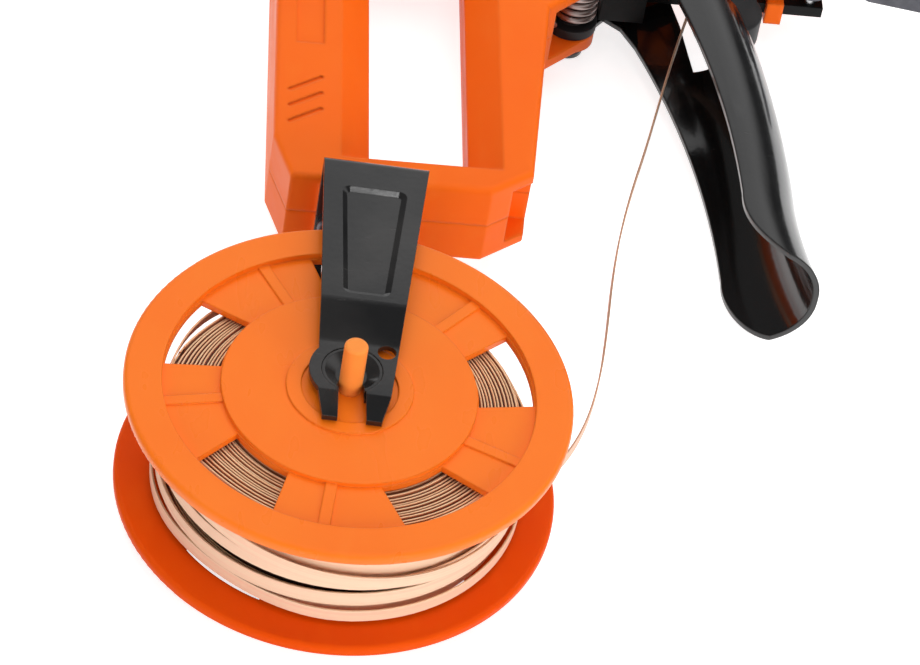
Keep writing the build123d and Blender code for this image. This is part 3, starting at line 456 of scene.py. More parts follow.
@dataclass(frozen=True)
class BareMetal(Finish):
    """Drawn, turned or ground metal.

    Attributes:
        colour: colour of the clean metal.
        dull: colour where oil and dirt lie.
        roughness: the middle roughness.
        grain: the direction of the working marks.
        marks: features of the working marks in a metre.
        mark_mm: depth of the working marks.
        stains: features of the oil and dirt in a metre.
        round_mm: how far the sharp edges are rounded over.
        edge_shine: how much the edges are rubbed clean.
    """

    colour: Colour
    dull: Colour
    roughness: float
    grain: Grain = Grain.Z
    marks: float = 5200.0
    mark_mm: float = 0.006
    stains: float = 120.0
    round_mm: float = 0.25
    edge_shine: float = 0.6

    def shade(self, sketch: ShaderSketch, surface: bpy.types.Node) -> None:
        """Fills in the surface shader.

        Args:
            sketch: the material's node tree.
            surface: the shader to fill in.
        """
        soft = sketch.rounded(self.round_mm)
        marks = sketch.noise(self.marks, 2.0, self.grain.value)
        stain = sketch.noise(self.stains, 4.0)
        tone = sketch.mix(sketch.span(stain, 0.35, 0.7), self.colour, self.dull)
        tone = sketch.mix(sketch.maths("MULTIPLY", sketch.edges(soft), self.edge_shine), tone, self.colour)
        rough = sketch.span(marks, 0.2, 0.8, self.roughness - 0.08, self.roughness + 0.1)
        normal = sketch.bump(marks, self.mark_mm, soft)
        sketch.fill(surface, {"Base Color": tone, "Roughness": rough, "Normal": normal})
        surface.inputs["Metallic"].default_value = 1.0


@dataclass(frozen=True)
class TieRibbon(Finish):
    """Thin tan ribbon with fibres along it and brown cut edges.

    Attributes:
        face: colour of the flat sides.
        warm: colour of the pinker stretches.
        edge: colour of the cut edges.
        dark: colour of the darkest fibres on the edges.
        level: whether the ribbon lies level, so that its height tells face from edge.
        half_mm: half the ribbon's width.
        by_width: how much the pattern changes across the ribbon.
        by_height: how much it changes from one turn to the next above it.
        fibres: features of the fibres in a metre.
        fibre_mm: depth of the fibres.
        stretches: features of the pinker stretches in a metre.
        specks: features of the dark fibres in a metre.
        sheen: weight of the soft sheen.
    """

    face: Colour
    warm: Colour
    edge: Colour
    dark: Colour
    level: bool = False
    half_mm: float = 2.0
    by_width: float = 0.35
    by_height: float = 9.0
    fibres: float = 40.0
    fibre_mm: float = 0.03
    stretches: float = 9.0
    specks: float = 26.0
    sheen: float = 0.15

    def directions(self, sketch: ShaderSketch) -> tuple[bpy.types.NodeSocket, bpy.types.NodeSocket]:
        """Where a place lies on the ribbon.

        Args:
            sketch: the material's node tree.

        Returns:
            The way along it in metres and across it from -1 to 1, as sockets.
        """
        if self.level:
            spot = sketch.node("ShaderNodeSeparateXYZ", {"Vector": sketch.places()})
            rise = sketch.maths("SUBTRACT", spot.outputs["Z"], drawn(0, 0).z)
            return spot.outputs["Y"], sketch.maths("DIVIDE", rise, self.half_mm * MM)
        along = sketch.node("ShaderNodeAttribute", attribute_name="along").outputs["Fac"]
        across = sketch.node("ShaderNodeAttribute", attribute_name="across").outputs["Fac"]
        return along, across

    def shade(self, sketch: ShaderSketch, surface: bpy.types.Node) -> None:
        """Fills in the surface shader.

        Args:
            sketch: the material's node tree.
            surface: the shader to fill in.
        """
        along, across = self.directions(sketch)
        height = sketch.node("ShaderNodeSeparateXYZ", {"Vector": sketch.places()}).outputs["Z"]
        flat = sketch.maths("MULTIPLY", across, self.by_width)
        lift = sketch.maths("MULTIPLY", height, self.by_height)
        strip = sketch.node("ShaderNodeCombineXYZ", {"X": along, "Y": flat, "Z": lift}).outputs["Vector"]
        fibres = sketch.noise(self.fibres, 4.0, vector=strip)
        stretches = sketch.noise(self.stretches, 2.0, vector=strip)
        specks = sketch.noise(self.specks, 3.0, vector=strip)
        face = sketch.mix(sketch.span(stretches, 0.4, 0.62), self.face, self.warm)
        face = sketch.mix(sketch.span(fibres, 0.58, 0.8, 0.0, 0.3), face, self.edge)
        edge = sketch.mix(sketch.span(specks, 0.36, 0.6), self.dark, self.edge)
        rim = sketch.span(sketch.maths("ABSOLUTE", across), 0.9, 0.985)
        tone = sketch.mix(rim, face, edge)
        rough = sketch.span(fibres, 0.3, 0.7, 0.42, 0.6)
        normal = sketch.bump(fibres, self.fibre_mm)
        sketch.fill(surface, {"Base Color": tone, "Roughness": rough, "Normal": normal})
        surface.inputs["Sheen Weight"].default_value = self.sheen


@dataclass(frozen=True)
class WoundCore(Finish):
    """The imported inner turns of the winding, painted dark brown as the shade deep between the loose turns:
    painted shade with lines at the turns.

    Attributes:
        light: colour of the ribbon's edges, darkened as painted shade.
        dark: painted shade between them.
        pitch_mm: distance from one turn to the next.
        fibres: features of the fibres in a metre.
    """

    light: Colour
    dark: Colour
    pitch_mm: float
    fibres: float = 1800.0

    def shade(self, sketch: ShaderSketch, surface: bpy.types.Node) -> None:
        """Fills in the surface shader.

        Args:
            sketch: the material's node tree.
            surface: the shader to fill in.
        """
        where = sketch.node("ShaderNodeTexCoord").outputs["Object"]
        flat = sketch.node("ShaderNodeVectorMath", {0: where, 1: (1.0, 1.0, 0.0)}, operation="MULTIPLY")
        axle = drawn(0, 0, ORIGIN_MM[2])
        reach = sketch.node(
            "ShaderNodeVectorMath", {0: flat.outputs["Vector"], 1: axle}, operation="DISTANCE"
        )
        turns = sketch.maths("DIVIDE", reach.outputs["Value"], self.pitch_mm * MM)
        saw = sketch.maths("PINGPONG", turns, 0.5)
        fibres = sketch.noise(self.fibres, 3.0)
        share = sketch.maths("MULTIPLY", sketch.span(saw, 0.12, 0.3), fibres)
        tone = sketch.mix(share, self.dark, self.light)
        sketch.fill(surface, {"Base Color": tone, "Roughness": sketch.span(fibres, 0.3, 0.7, 0.6, 0.85)})


@dataclass(frozen=True)
class CircuitBoard(Finish):
    """Lacquered board with fine tracks and tinned pads.

    Attributes:
        lacquer: colour of the lacquer.
        track: colour of the tracks under the lacquer.
        tin: colour of the pads.
        pads: pads in a metre.
        lanes: scale of the tracks.
        waver: how much the tracks bend.
        weave: features of the glass weave in a metre.
        weave_mm: depth of the weave.
        round_mm: how far the cut edges are rounded over.
    """

    lacquer: Colour
    track: Colour
    tin: Colour
    pads: float = 420.0
    lanes: float = 160.0
    waver: float = 1.5
    weave: float = 2600.0
    weave_mm: float = 0.01
    round_mm: float = 0.2

    def shade(self, sketch: ShaderSketch, surface: bpy.types.Node) -> None:
        """Fills in the surface shader.

        Args:
            sketch: the material's node tree.
            surface: the shader to fill in.
        """
        cells = sketch.node(
            "ShaderNodeTexVoronoi", {"Vector": sketch.places(), "Scale": self.pads}, distance="CHEBYCHEV"
        ).outputs["Distance"]
        lanes = sketch.node(
            "ShaderNodeTexWave", {"Vector": sketch.places(), "Scale": self.lanes, "Distortion": self.waver}
        ).outputs["Fac"]
        weave = sketch.noise(self.weave, 2.0)
        tone = sketch.mix(sketch.span(lanes, 0.78, 0.84), self.lacquer, self.track)
        tone = sketch.mix(sketch.span(cells, 0.16, 0.12), tone, self.tin)
        rough = sketch.span(weave, 0.3, 0.7, 0.25, 0.4)
        normal = sketch.bump(weave, self.weave_mm, sketch.rounded(self.round_mm))
        sketch.fill(surface, {"Base Color": tone, "Roughness": rough, "Normal": normal})


GRIP_ORANGE = MouldedPlastic(
    "grip_orange", (0.97, 0.158, 0.008), (0.95, 0.138, 0.006), (0.98, 0.21, 0.025), 0.42, round_mm=1.5
)
# Partly painted light: the spool's own orange plastic, painted lighter than the grip's for the sheen and light
# on the hub's top.
LIT_SPOOL_ORANGE = MouldedPlastic(
    "spool_orange",
    (0.98, 0.204, 0.011),
    (0.96, 0.176, 0.007),
    (0.98, 0.23, 0.02),
    0.30,
    skin_mm=0.006,
    round_mm=0.6,
    gloss=0.3,
)
# Painted shade: the far flange is the same orange plastic as the spool, painted deeper and redder for the near
# flange's shade on it.
SHADED_FAR_ORANGE = MouldedPlastic(
    "spool_orange_painted_shade",
    (0.83, 0.088, 0.001),
    (0.79, 0.070, 0.001),
    (0.88, 0.13, 0.007),
    0.40,
    round_mm=0.6,
    gloss=0.08,
)
AXLE_ORANGE = MouldedPlastic(
    "axle_orange", (0.97, 0.31, 0.06), (0.95, 0.26, 0.04), (0.98, 0.41, 0.13), 0.34, round_mm=0.5
)
BLACK_SHEET = CoatedSheet("black_gloss_sheet", (0.007, 0.007, 0.0075), (0.16, 0.145, 0.135), 0.15)
LEVER_SHEET = CoatedSheet(
    "black_lever_sheet", (0.007, 0.007, 0.0075), (0.03, 0.027, 0.025), 0.15, round_mm=0.9, edge_gloss=0.08
)
MATT_BLACK = MouldedPlastic(
    "matt_black_coat", (0.006, 0.006, 0.0065), (0.004, 0.004, 0.004), (0.03, 0.03, 0.03), 0.5, skin=2200.0
)
BLACK_PLASTIC = MouldedPlastic(
    "moulded_black", (0.022, 0.022, 0.023), (0.014, 0.014, 0.015), (0.07, 0.07, 0.07), 0.42, skin=2200.0
)
ROLLER_PLASTIC = MouldedPlastic(
    "turned_white_plastic", (0.72, 0.71, 0.67), (0.62, 0.60, 0.55), (0.8, 0.79, 0.76), 0.38
)
SLEEVE_WRAP = MouldedPlastic(
    "shrink_sleeve", (0.03, 0.22, 0.20), (0.02, 0.16, 0.15), (0.15, 0.36, 0.33), 0.28, skin=500.0
)
SPRING_WIRE = BareMetal("dark_spring_wire", (0.42, 0.34, 0.32), (0.19, 0.15, 0.138), 0.34, Grain.Y)
PIN_STEEL = BareMetal("turned_pin_steel", (0.60, 0.60, 0.61), (0.42, 0.42, 0.43), 0.28, Grain.Z)
SHAFT_STEEL = BareMetal("turned_shaft_steel", (0.58, 0.58, 0.59), (0.40, 0.40, 0.41), 0.26, Grain.X)
MOTOR_STEEL = BareMetal("drawn_motor_can", (0.46, 0.46, 0.47), (0.33, 0.33, 0.33), 0.33, Grain.X)
JAW_STEEL = BareMetal("blued_jaw_steel", (0.13, 0.13, 0.145), (0.07, 0.07, 0.08), 0.36, Grain.X)
RIBBON = TieRibbon(
    "tan_tie_ribbon", (0.93, 0.66, 0.46), (0.94, 0.58, 0.40), (0.80, 0.49, 0.28), (0.14, 0.06, 0.025)
)
RUN_RIBBON = TieRibbon(
    "tan_free_ribbon",
    (0.80, 0.48, 0.31),
    (0.84, 0.50, 0.34),
    (0.55, 0.30, 0.18),
    (0.34, 0.17, 0.09),
    level=True,
)
# Painted shade and highlight: the tight turns' flat sides are painted dark brown for the shade between the
# turns, and their edges lighter than the ribbon's own colour as a painted highlight.
SHADED_AND_LIT_TIGHT_RIBBON = TieRibbon(
    "tan_wound_ribbon_painted_shade_and_highlight", (0.56, 0.20, 0.08), (0.46, 0.15, 0.055), (0.99, 0.74, 0.45), (0.92, 0.54, 0.27)
)
# Painted shade: the inner turns are painted dark brown for the shade deep between the loose turns.
SHADED_CORE = WoundCore("wound_core_painted_shade", (0.24, 0.08, 0.03), (0.05, 0.014, 0.005), 0.68)
BOARD = CircuitBoard("green_board", (0.012, 0.10, 0.035), (0.03, 0.19, 0.07), (0.55, 0.54, 0.5))


@dataclass
class PackedGroup:
    """A sub-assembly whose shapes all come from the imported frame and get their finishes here.

    Attributes:
        name: the sub-assembly's name.
        finishes: each finish with the frame's nodes that wear it.
    """

    name: str
    finishes: dict[Finish, tuple[str, ...]]

    def dress(self) -> None:
        """Gives every node its finish and reports it."""
        for finish, nodes in self.finishes.items():
            for node in nodes:
                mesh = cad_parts[node].data
                mesh.materials.clear()
                mesh.materials.append(finish.material())
                log.info("%s of the %s, in %s", node, self.name, finish.name)


GRIP = PackedGroup(
    "grip",
    {
        GRIP_ORANGE: ("housing_near", "housing_far"),
        PIN_STEEL: ("housing_screws",),
        BLACK_PLASTIC: ("power_button",),
    },
)
SPOOL = PackedGroup(
    "spool",
    {
        # The hub and near flange wear the orange that is painted lighter for the light on them.
        LIT_SPOOL_ORANGE: ("spool_hub", "spool_flange_near"),
        # The far flange wears the spool's orange with painted shade.
        SHADED_FAR_ORANGE: ("spool_flange_far",),
        AXLE_ORANGE: ("spool_axle",),
    },
)
BRACKET = PackedGroup(
    "clip bracket",
    {
        BLACK_SHEET: ("spool_bracket", "axle_bush_near", "axle_bush_far"),
        JAW_STEEL: ("bracket_screws",),
        PIN_STEEL: ("nut_plate",),
    },
)
LEVER = PackedGroup(
    "squeeze lever",
    {
        LEVER_SHEET: ("lever",),
        PIN_STEEL: ("lever_pivot_pin", "pivot_ring", "drive_pin", "spring_peg"),
        BLACK_PLASTIC: ("pivot_washers", "spring_sleeve"),
    },
)
HEAD = PackedGroup(
    "tying head",
    {
        MATT_BLACK: ("push_frame",),
        JAW_STEEL: ("upper_jaw", "lower_jaw"),
        PIN_STEEL: ("push_pin", "jaw_pivot_pin", "cutter_blade"),
    },
)
FEED = PackedGroup(
    "ribbon feed",
    {
        BLACK_PLASTIC: ("ribbon_guide",),
        ROLLER_PLASTIC: ("guide_roller",),
        PIN_STEEL: ("roller_pin",),
    },
)
DRIVE = PackedGroup(
    "twisting drive",
    {
        MOTOR_STEEL: ("drive_motor", "gearbox", "drive_coupling"),
        SHAFT_STEEL: ("output_shaft", "twister_shaft", "twister_hook", "front_bearing", "rear_bearing"),
    },
)
POWER = PackedGroup(
    "power supply",
    {
        SLEEVE_WRAP: ("battery_cell",),
        BLACK_PLASTIC: ("cell_retainer", "trigger_switch", "board_parts"),
        PIN_STEEL: ("battery_contacts", "charge_socket"),
        BOARD: ("control_board",),
    },
)


class Wander:
    """A smooth seeded wander: a few sine waves of different lengths.

    Attributes:
        COUNT: the number of waves.
        SIZES: the smallest and largest share that a wave takes of its full size.
        RATES: the smallest and largest share that it takes of the middle rate.
    """

    COUNT = 4
    SIZES = (0.5, 1.0)
    RATES = (0.5, 1.7)

    def __init__(self, seed: int, size: float, rate: float) -> None:
        """Picks the waves.

        Args:
            seed: fixes the waves.
            size: the largest wander to each side.
            rate: the middle number of waves in one unit.
        """
        rng = random.Random(seed)
        self.waves = [
            (
                size / self.COUNT * rng.uniform(*self.SIZES),
                rate * rng.uniform(*self.RATES),
                rng.uniform(0, math.tau),
            )
            for _ in range(self.COUNT)
        ]

    def at(self, t: float) -> float:
        """The wander at a place."""
        return sum(size * math.sin(math.tau * rate * t + phase) for size, rate, phase in self.waves)


@dataclass(frozen=True)
class Waviness:
    """How uneven a set of lines is.

    Attributes:
        seed: fixes the waves of the first line.
        size: the largest wander to each side, in millimetres.
        rate: the middle number of waves in one unit.
    """

    seed: int
    size: float
    rate: float

    def wander(self, number: int) -> Wander:
        """The wander of one line, by its number."""
        return Wander(self.seed + number, self.size, self.rate)


class SweptSection:
    """A node tree that sweeps a flat or round section along every line of a curve.

    Attributes:
        CORNER: radius of a flat section's corners, as a share of its thickness.
        SIDES: sides of a round section.
    """

    CORNER = 0.3
    SIDES = 20

    def __init__(self, section: Section) -> None:
        """Builds the tree.

        Args:
            section: the section to sweep.
        """
        self.tree = bpy.data.node_groups.new(f"swept_{section.value}", "GeometryNodeTree")
        sketch = Sketch(self.tree)
        self.keys = {}
        for name, kind in (
            ("Geometry", "NodeSocketGeometry"),
            ("Width", "NodeSocketFloat"),
            ("Thickness", "NodeSocketFloat"),
            ("Material", "NodeSocketMaterial"),
        ):
            made = self.tree.interface.new_socket(name=name, in_out="INPUT", socket_type=kind)
            self.keys[name] = made.identifier
        self.tree.interface.new_socket(name="Geometry", in_out="OUTPUT", socket_type="NodeSocketGeometry")
        given = sketch.node("NodeGroupInput")
        far = sketch.node("GeometryNodeSplineParameter").outputs["Length"]
        path = self._named(sketch, given.outputs["Geometry"], "along", far)
        upright = sketch.node("GeometryNodeSetCurveNormal", {"Curve": path}, mode="Z_UP")
        half = sketch.maths("MULTIPLY", given.outputs["Width"], 0.5)
        if section is Section.FLAT:
            plain = sketch.node(
                "GeometryNodeCurvePrimitiveQuadrilateral",
                {"Width": given.outputs["Thickness"], "Height": given.outputs["Width"]},
            )
            corner = sketch.maths("MULTIPLY", given.outputs["Thickness"], self.CORNER)
            outline = sketch.node(
                "GeometryNodeFilletCurve", {"Curve": plain.outputs["Curve"], "Radius": corner}
            )
        else:
            outline = sketch.node(
                "GeometryNodeCurvePrimitiveCircle", {"Resolution": self.SIDES, "Radius": half}
            )
        position = sketch.node("GeometryNodeInputPosition").outputs["Position"]
        spot = sketch.node("ShaderNodeSeparateXYZ", {"Vector": position})
        share = sketch.maths("DIVIDE", spot.outputs["Y"], half)
        marked = self._named(sketch, outline.outputs["Curve"], "across", share)
        swept = sketch.node(
            "GeometryNodeCurveToMesh",
            {"Curve": upright.outputs["Curve"], "Profile Curve": marked, "Fill Caps": True},
        )
        whole = sketch.node("GeometryNodeRealizeInstances", {"Geometry": swept.outputs["Mesh"]})
        dressed = sketch.node(
            "GeometryNodeSetMaterial",
            {"Geometry": whole.outputs["Geometry"], "Material": given.outputs["Material"]},
        )
        sketch.node("NodeGroupOutput", {"Geometry": dressed.outputs["Geometry"]})

    @staticmethod
    def _named(sketch: Sketch, geometry: object, name: str, value: object) -> bpy.types.NodeSocket:
        """Stores a value on a curve's points under a name.

        Args:
            sketch: the tree to add to.
            geometry: the curve's socket.
            name: the attribute's name.
            value: the value's socket.

        Returns:
            The marked curve's socket.
        """
        made = sketch.node(
            "GeometryNodeStoreNamedAttribute",
            {"Geometry": geometry, "Name": name, "Value": value},
            data_type="FLOAT",
            domain="POINT",
        )
        return made.outputs["Geometry"]

    def bake(
        self,
        name: str,
        paths: Sequence[Sequence[Vector]],
        width: float,
        thickness: float,
        finish: Finish,
        lean: float = 0.0,
    ) -> bpy.types.Object:
        """Sweeps the section along open lines of points.

        Args:
            name: the new piece's name.
            paths: the lines, each a row of points in metres.
            width: the section's width in metres.
            thickness: the section's thickness in metres.
            finish: the piece's finish.
            lean: how far the section leans about its line, in degrees.

        Returns:
            The piece as a plain mesh.
        """
        lines = bpy.data.curves.new(name + "_path", "CURVE")
        lines.dimensions = "3D"
        for points in paths:
            spline = lines.splines.new("POLY")
            spline.points.add(len(points) - 1)
            for target, point in zip(spline.points, points):
                target.co = (*point, 1.0)
                target.tilt = math.radians(lean)
        carrier = placed(name + "_path", lines)
        sweep = carrier.modifiers.new("sweep", "NODES")
        sweep.node_group = self.tree
        sweep[self.keys["Width"]] = width
        sweep[self.keys["Thickness"]] = thickness
        sweep[self.keys["Material"]] = finish.material()
        return bake_plain(carrier, name)


def bake_plain(carrier: bpy.types.Object, name: str) -> bpy.types.Object:
    """Turns a curve with its modifiers into a plain mesh piece and removes the curve.

    Args:
        carrier: the curve's object, which holds the modifiers.
        name: the new piece's name.

    Returns:
        The new piece.
    """
    graph = bpy.context.evaluated_depsgraph_get()
    mesh = bpy.data.meshes.new_from_object(carrier.evaluated_get(graph), depsgraph=graph)
    mesh.name = name
    for face in mesh.polygons:
        face.use_smooth = True
    mesh.set_sharp_from_angle(angle=math.radians(SHARP_DEGREES))
    piece = placed(name, mesh)
    lines = carrier.data
    bpy.data.objects.remove(carrier)
    bpy.data.curves.remove(lines)
    return piece


def settle(piece: bpy.types.Object, body: Body, slot: str, *nodes: str) -> None:
    """Seats a finished piece on its body and reports it.

    Args:
        piece: the finished piece.
        body: the body that it moves with.
        slot: the record's material slot; not used.
        nodes: the frame's nodes that it stands for.
    """
    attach(piece, body.value)
    if nodes:
        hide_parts(*nodes)
    log.info("%s on %s, for %s", piece.name, body.value, ", ".join(nodes) or "itself")


@dataclass
class LeverSpring:
    """The torsion spring on the lever's pivot: a coil with two straight legs.

    Attributes:
        pivot: place of the coil's axis, as drawn; all sizes are in millimetres.
        wire: thickness of the wire.
        mean_r: radius of the coil at the middle of the wire.
        pitch: rise in one turn.
        turns: number of turns.
        low_z: height of the first turn.
        held_leg: length of the straight leg at the housing.
        free_leg: length of the straight leg at the lever's peg.
        steps: points in one turn.
    """

    pivot: tuple[float, float] = (66.5, 179.0)
    wire: float = 2.2
    mean_r: float = 5.7
    pitch: float = 2.65
    turns: float = 4.125
    low_z: float = -4.316
    held_leg: float = 6.0
    free_leg: float = 13.0
    steps: int = 40

    def spot(self, turned: float) -> Vector:
        """The middle of the wire.

        Args:
            turned: how many turns it is from the held leg.

        Returns:
            The place in metres.
        """
        angle = math.pi - math.tau * turned
        x = self.pivot[0] + self.mean_r * math.cos(angle)
        y = self.pivot[1] + self.mean_r * math.sin(angle)
        return drawn(x, y, self.low_z + self.pitch * turned)

    def heading(self, turned: float) -> Vector:
        """The wire's direction.

        Args:
            turned: how many turns it is from the held leg.

        Returns:
            The direction, a millimetre long.
        """
        angle = math.pi - math.tau * turned
        run = Vector((math.sin(angle), -math.cos(angle), self.pitch / (math.tau * self.mean_r)))
        return run.normalized() * MM

    def path(self) -> list[Vector]:
        """The whole line of the wire.

        Returns:
            Its points, from the end of the held leg to the end of the free one.
        """
        count = round(self.steps * self.turns)
        coil = [self.spot(self.turns * i / count) for i in range(count + 1)]
        held = self.heading(0.0) * self.held_leg
        free = self.heading(self.turns) * self.free_leg
        return [coil[0] - held, coil[0] - held / 2, *coil, coil[-1] + free / 2, coil[-1] + free]

    def build(self) -> None:
        """Makes the spring at its place, fixed in the world, and hides the imported one."""
        sweep = SweptSection(Section.ROUND)
        spring = sweep.bake("lever_spring", [self.path()], self.wire * MM, self.wire * MM, SPRING_WIRE)
        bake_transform(spring)
        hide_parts("torsion_spring")
        log.info("%s from %s to %s, for torsion_spring", spring.name, Body.FRAME.value, Body.LEVER.value)


@dataclass(frozen=True)
class LooseTurn:
    """One flat turn that lies round the winding.

    Attributes:
        z: middle height in millimetres.
        r: largest radius.
        tilt: how much it rises to one side.
        high_at: where it is highest, in degrees.
        dip: how far it is pressed inwards at one place.
        dip_at: where it is pressed inwards, in degrees.
        dip_reach: how far it is pressed inwards to both sides, in degrees.
        tucked: how much nearer the axle it lies opposite its widest place.
        wide_at: where its radius is largest, in degrees.
    """

    z: float
    r: float
    tilt: float
    high_at: float
    dip: float = 0.0
    dip_at: float = 0.0
    dip_reach: float = 40.0
    tucked: float = 2.6
    wide_at: float = -90.0

    def radius(self, angle: float) -> float:
        """The turn's radius.

        Args:
            angle: the angle round the axle in radians.

        Returns:
            The radius in millimetres.
        """
        tuck = 0.5 - 0.5 * math.cos(angle - math.radians(self.wide_at))
        away = abs((math.degrees(angle) - self.dip_at + 180.0) % 360.0 - 180.0)
        return self.r - self.tucked * tuck - self.dip * hump(away, self.dip_reach)

    def height(self, angle: float) -> float:
        """The turn's height at an angle in radians."""
        return self.z + self.tilt * math.cos(angle - math.radians(self.high_at))


@dataclass(frozen=True)
class Bulge:
    """A side of the spool on which the tight turns stand out.

    Attributes:
        at: where it is, in degrees.
        size: how far the last turn stands out, in millimetres.
        sharp: how quickly it falls away to both sides.
    """

    at: float
    size: float
    sharp: int = 2

    def out(self, angle: float) -> float:
        """How far it reaches out at an angle in radians."""
        return self.size * max(0.0, math.cos(angle - math.radians(self.at))) ** self.sharp


@dataclass(frozen=True)
class StrayTurn:
    """One turn under the near flange that stands off the others.

    Attributes:
        at: where it stands off, in degrees.
        off: how far it stands off, in millimetres.
        reach: how far it stands off to both sides, in degrees.
    """

    at: float
    off: float
    reach: float


@dataclass
class RibbonWinding:
    """The ribbon wound on the spool: edge-on turns under both flanges and loose flat turns outside.

    Attributes:
        width: width of the ribbon in millimetres.
        thickness: thickness of the loose ribbon.
        tight: thickness of the ribbon in the tight turns.
        inner_r: radius of the first turn that shows.
        near_r: radius of the last tight turn under the near flange.
        far_r: radius of the last tight turn under the far flange.
        near_bulges: where the turns under the near flange stand out.
        pitch: distance from one turn to the next.
        edge_z: height of the ribbon's middle in the outermost rows.
        lowest_z: the furthest that a flat turn's middle lies from mid-width.
        starts: angle of the first tight turn under the near flange and under the far one, in radians.
        drift: how the tight turns wander in and out.
        rise: how they wander up and down.
        strays: the turns that stand off under the near flange.
        stray_gap: distance from the last tight turn to them.
        stray_drop: how much lower they begin than the outermost row.
        stray_rise: how much they rise in one turn.
        stray_lean: how far they lean about their line, in degrees; inwards below zero.
        wave: how the flat turns wander up and down.
        swell: how they wander in and out.
        flat_start: angle at which the first flat turn begins, in radians.
        flat_shift: how much later each next one begins.
        hub_r: radius of the hub that the core sits on.
        core_low: how far the core lies behind the far row's middle.
        core_high: how far it lies behind the near row's middle.
        core_step: height at which the core gets narrower.
        core_in: how far it lies inside the last tight turn under the far flange and under the near one.
        core_bevel: how far its rims are taken in and how high their slopes are.
        steps: points in one turn, and sides of the core.
        loose: the flat turns that show between the flanges.
    """

    width: float = 4.0
    thickness: float = 0.5
    tight: float = 0.48
    inner_r: float = 24.6
    near_r: float = 40.5
    far_r: float = 44.8
    near_bulges: tuple[Bulge, ...] = (Bulge(182.0, 5.7, 6), Bulge(-15.0, 3.7), Bulge(-100.0, 2.9))
    pitch: float = 0.68
    edge_z: float = 12.4
    lowest_z: float = 13.1
    starts: tuple[float, float] = (0.4, 2.1)
    drift: Waviness = Waviness(11, 0.24, 0.8)
    rise: Waviness = Waviness(23, 0.8, 0.37)
    strays: tuple[StrayTurn, ...] = (StrayTurn(140.0, 3.3, 36.0), StrayTurn(-16.0, 2.9, 34.0))
    stray_gap: float = 0.6
    stray_drop: float = 0.6
    stray_rise: float = 0.5
    stray_lean: float = -14.0
    wave: Waviness = Waviness(0, 0.3, 1.6)
    swell: Waviness = Waviness(50, 0.08, 2.2)
    flat_start: float = 1.2
    flat_shift: float = 0.12
    hub_r: float = 21.4
    core_low: float = 0.4
    core_high: float = 1.9
    core_step: float = 4.0
    core_in: tuple[float, float] = (1.9, 0.9)
    core_bevel: tuple[float, float] = (0.3, 0.6)
    steps: int = 96
    loose: tuple[LooseTurn, ...] = (
        LooseTurn(-12.7, 49.3, 0.3, -130.0, 1.7, -126.0),
        LooseTurn(-8.4, 47.8, 0.3, -50.0),
        LooseTurn(-7.1, 48.4, 0.5, -30.0),
        LooseTurn(-1.3, 48.35, 1.6, 175.0),
        LooseTurn(1.8, 48.95, 6.2, 170.0, 4.0, 138.0),
        LooseTurn(6.6, 47.8, 2.9, 185.0, 4.0, 134.0),
        LooseTurn(3.4, 46.6, 4.4, 175.0, 2.8, 136.0),
        LooseTurn(5.0, 46.0, 3.4, 178.0, 2.6, 136.0),
        LooseTurn(-4.4, 45.6, 0.8, 190.0),
        LooseTurn(-12.3, 46.7, 0.2, 20.0),
        LooseTurn(-0.5, 45.2, 1.5, 180.0),
        LooseTurn(9.6, 45.4, 0.6, 120.0, 2.4, 136.0),
    )

    def edge_turns(self, side: int, last_r: float, bulges: Sequence[Bulge]) -> list[Vector]:
        """The turns under one flange, seen edge-on through its windows.

        Args:
            side: 1 for the near flange and -1 for the far one.
            last_r: radius of the last turn.
            bulges: where the turns stand out.

        Returns:
            The points of one long spiral.
        """
        turns = (last_r - self.inner_r) / self.pitch
        start = self.starts[0] if side > 0 else self.starts[1]
        drift = self.drift.wander(side)
        rise = self.rise.wander(side)
        points = []
        for i in range(round(turns * self.steps) + 1):
            t = i / self.steps
            angle = math.tau * t + start
            out = sum(bulge.out(angle) for bulge in bulges)
            r = self.inner_r + self.pitch * t + drift.at(t) + out * (t / turns) ** 2
            points.append(round_axle(r, angle, side * (self.edge_z + rise.at(t))))
        return points

    def stray_turn(self, stray: StrayTurn) -> list[Vector]:
        """One loose turn under the near flange.

        Args:
            stray: where and how far it stands off.

        Returns:
            The points of the turn.
        """
        points = []
        for i in range(self.steps + 1):
            share = i / self.steps
            apart = 360.0 * share - 180.0
            angle = math.radians(stray.at + apart)
            out = sum(bulge.out(angle) for bulge in self.near_bulges)
            r = self.near_r + self.stray_gap + out + stray.off * hump(abs(apart), stray.reach)
            points.append(round_axle(r, angle, self.edge_z - self.stray_drop + self.stray_rise * share))
        return points

    def flat_turn(self, turn: LooseTurn, number: int) -> list[Vector]:
        """One flat turn round the outside.

        Args:
            turn: the turn's place and lean.
            number: its place in the row of turns, which fixes its small waves.

        Returns:
            The points of the turn.
        """
        wave = self.wave.wander(number)
        swell = self.swell.wander(number)
        points = []
        for i in range(self.steps + 1):
            share = i / self.steps
            angle = math.tau * share + self.flat_start + self.flat_shift * number
            r = turn.radius(angle) + swell.at(share)
            z = max(-self.lowest_z, min(self.lowest_z, turn.height(angle) + wave.at(share)))
            points.append(round_axle(r, angle, z))
        return points

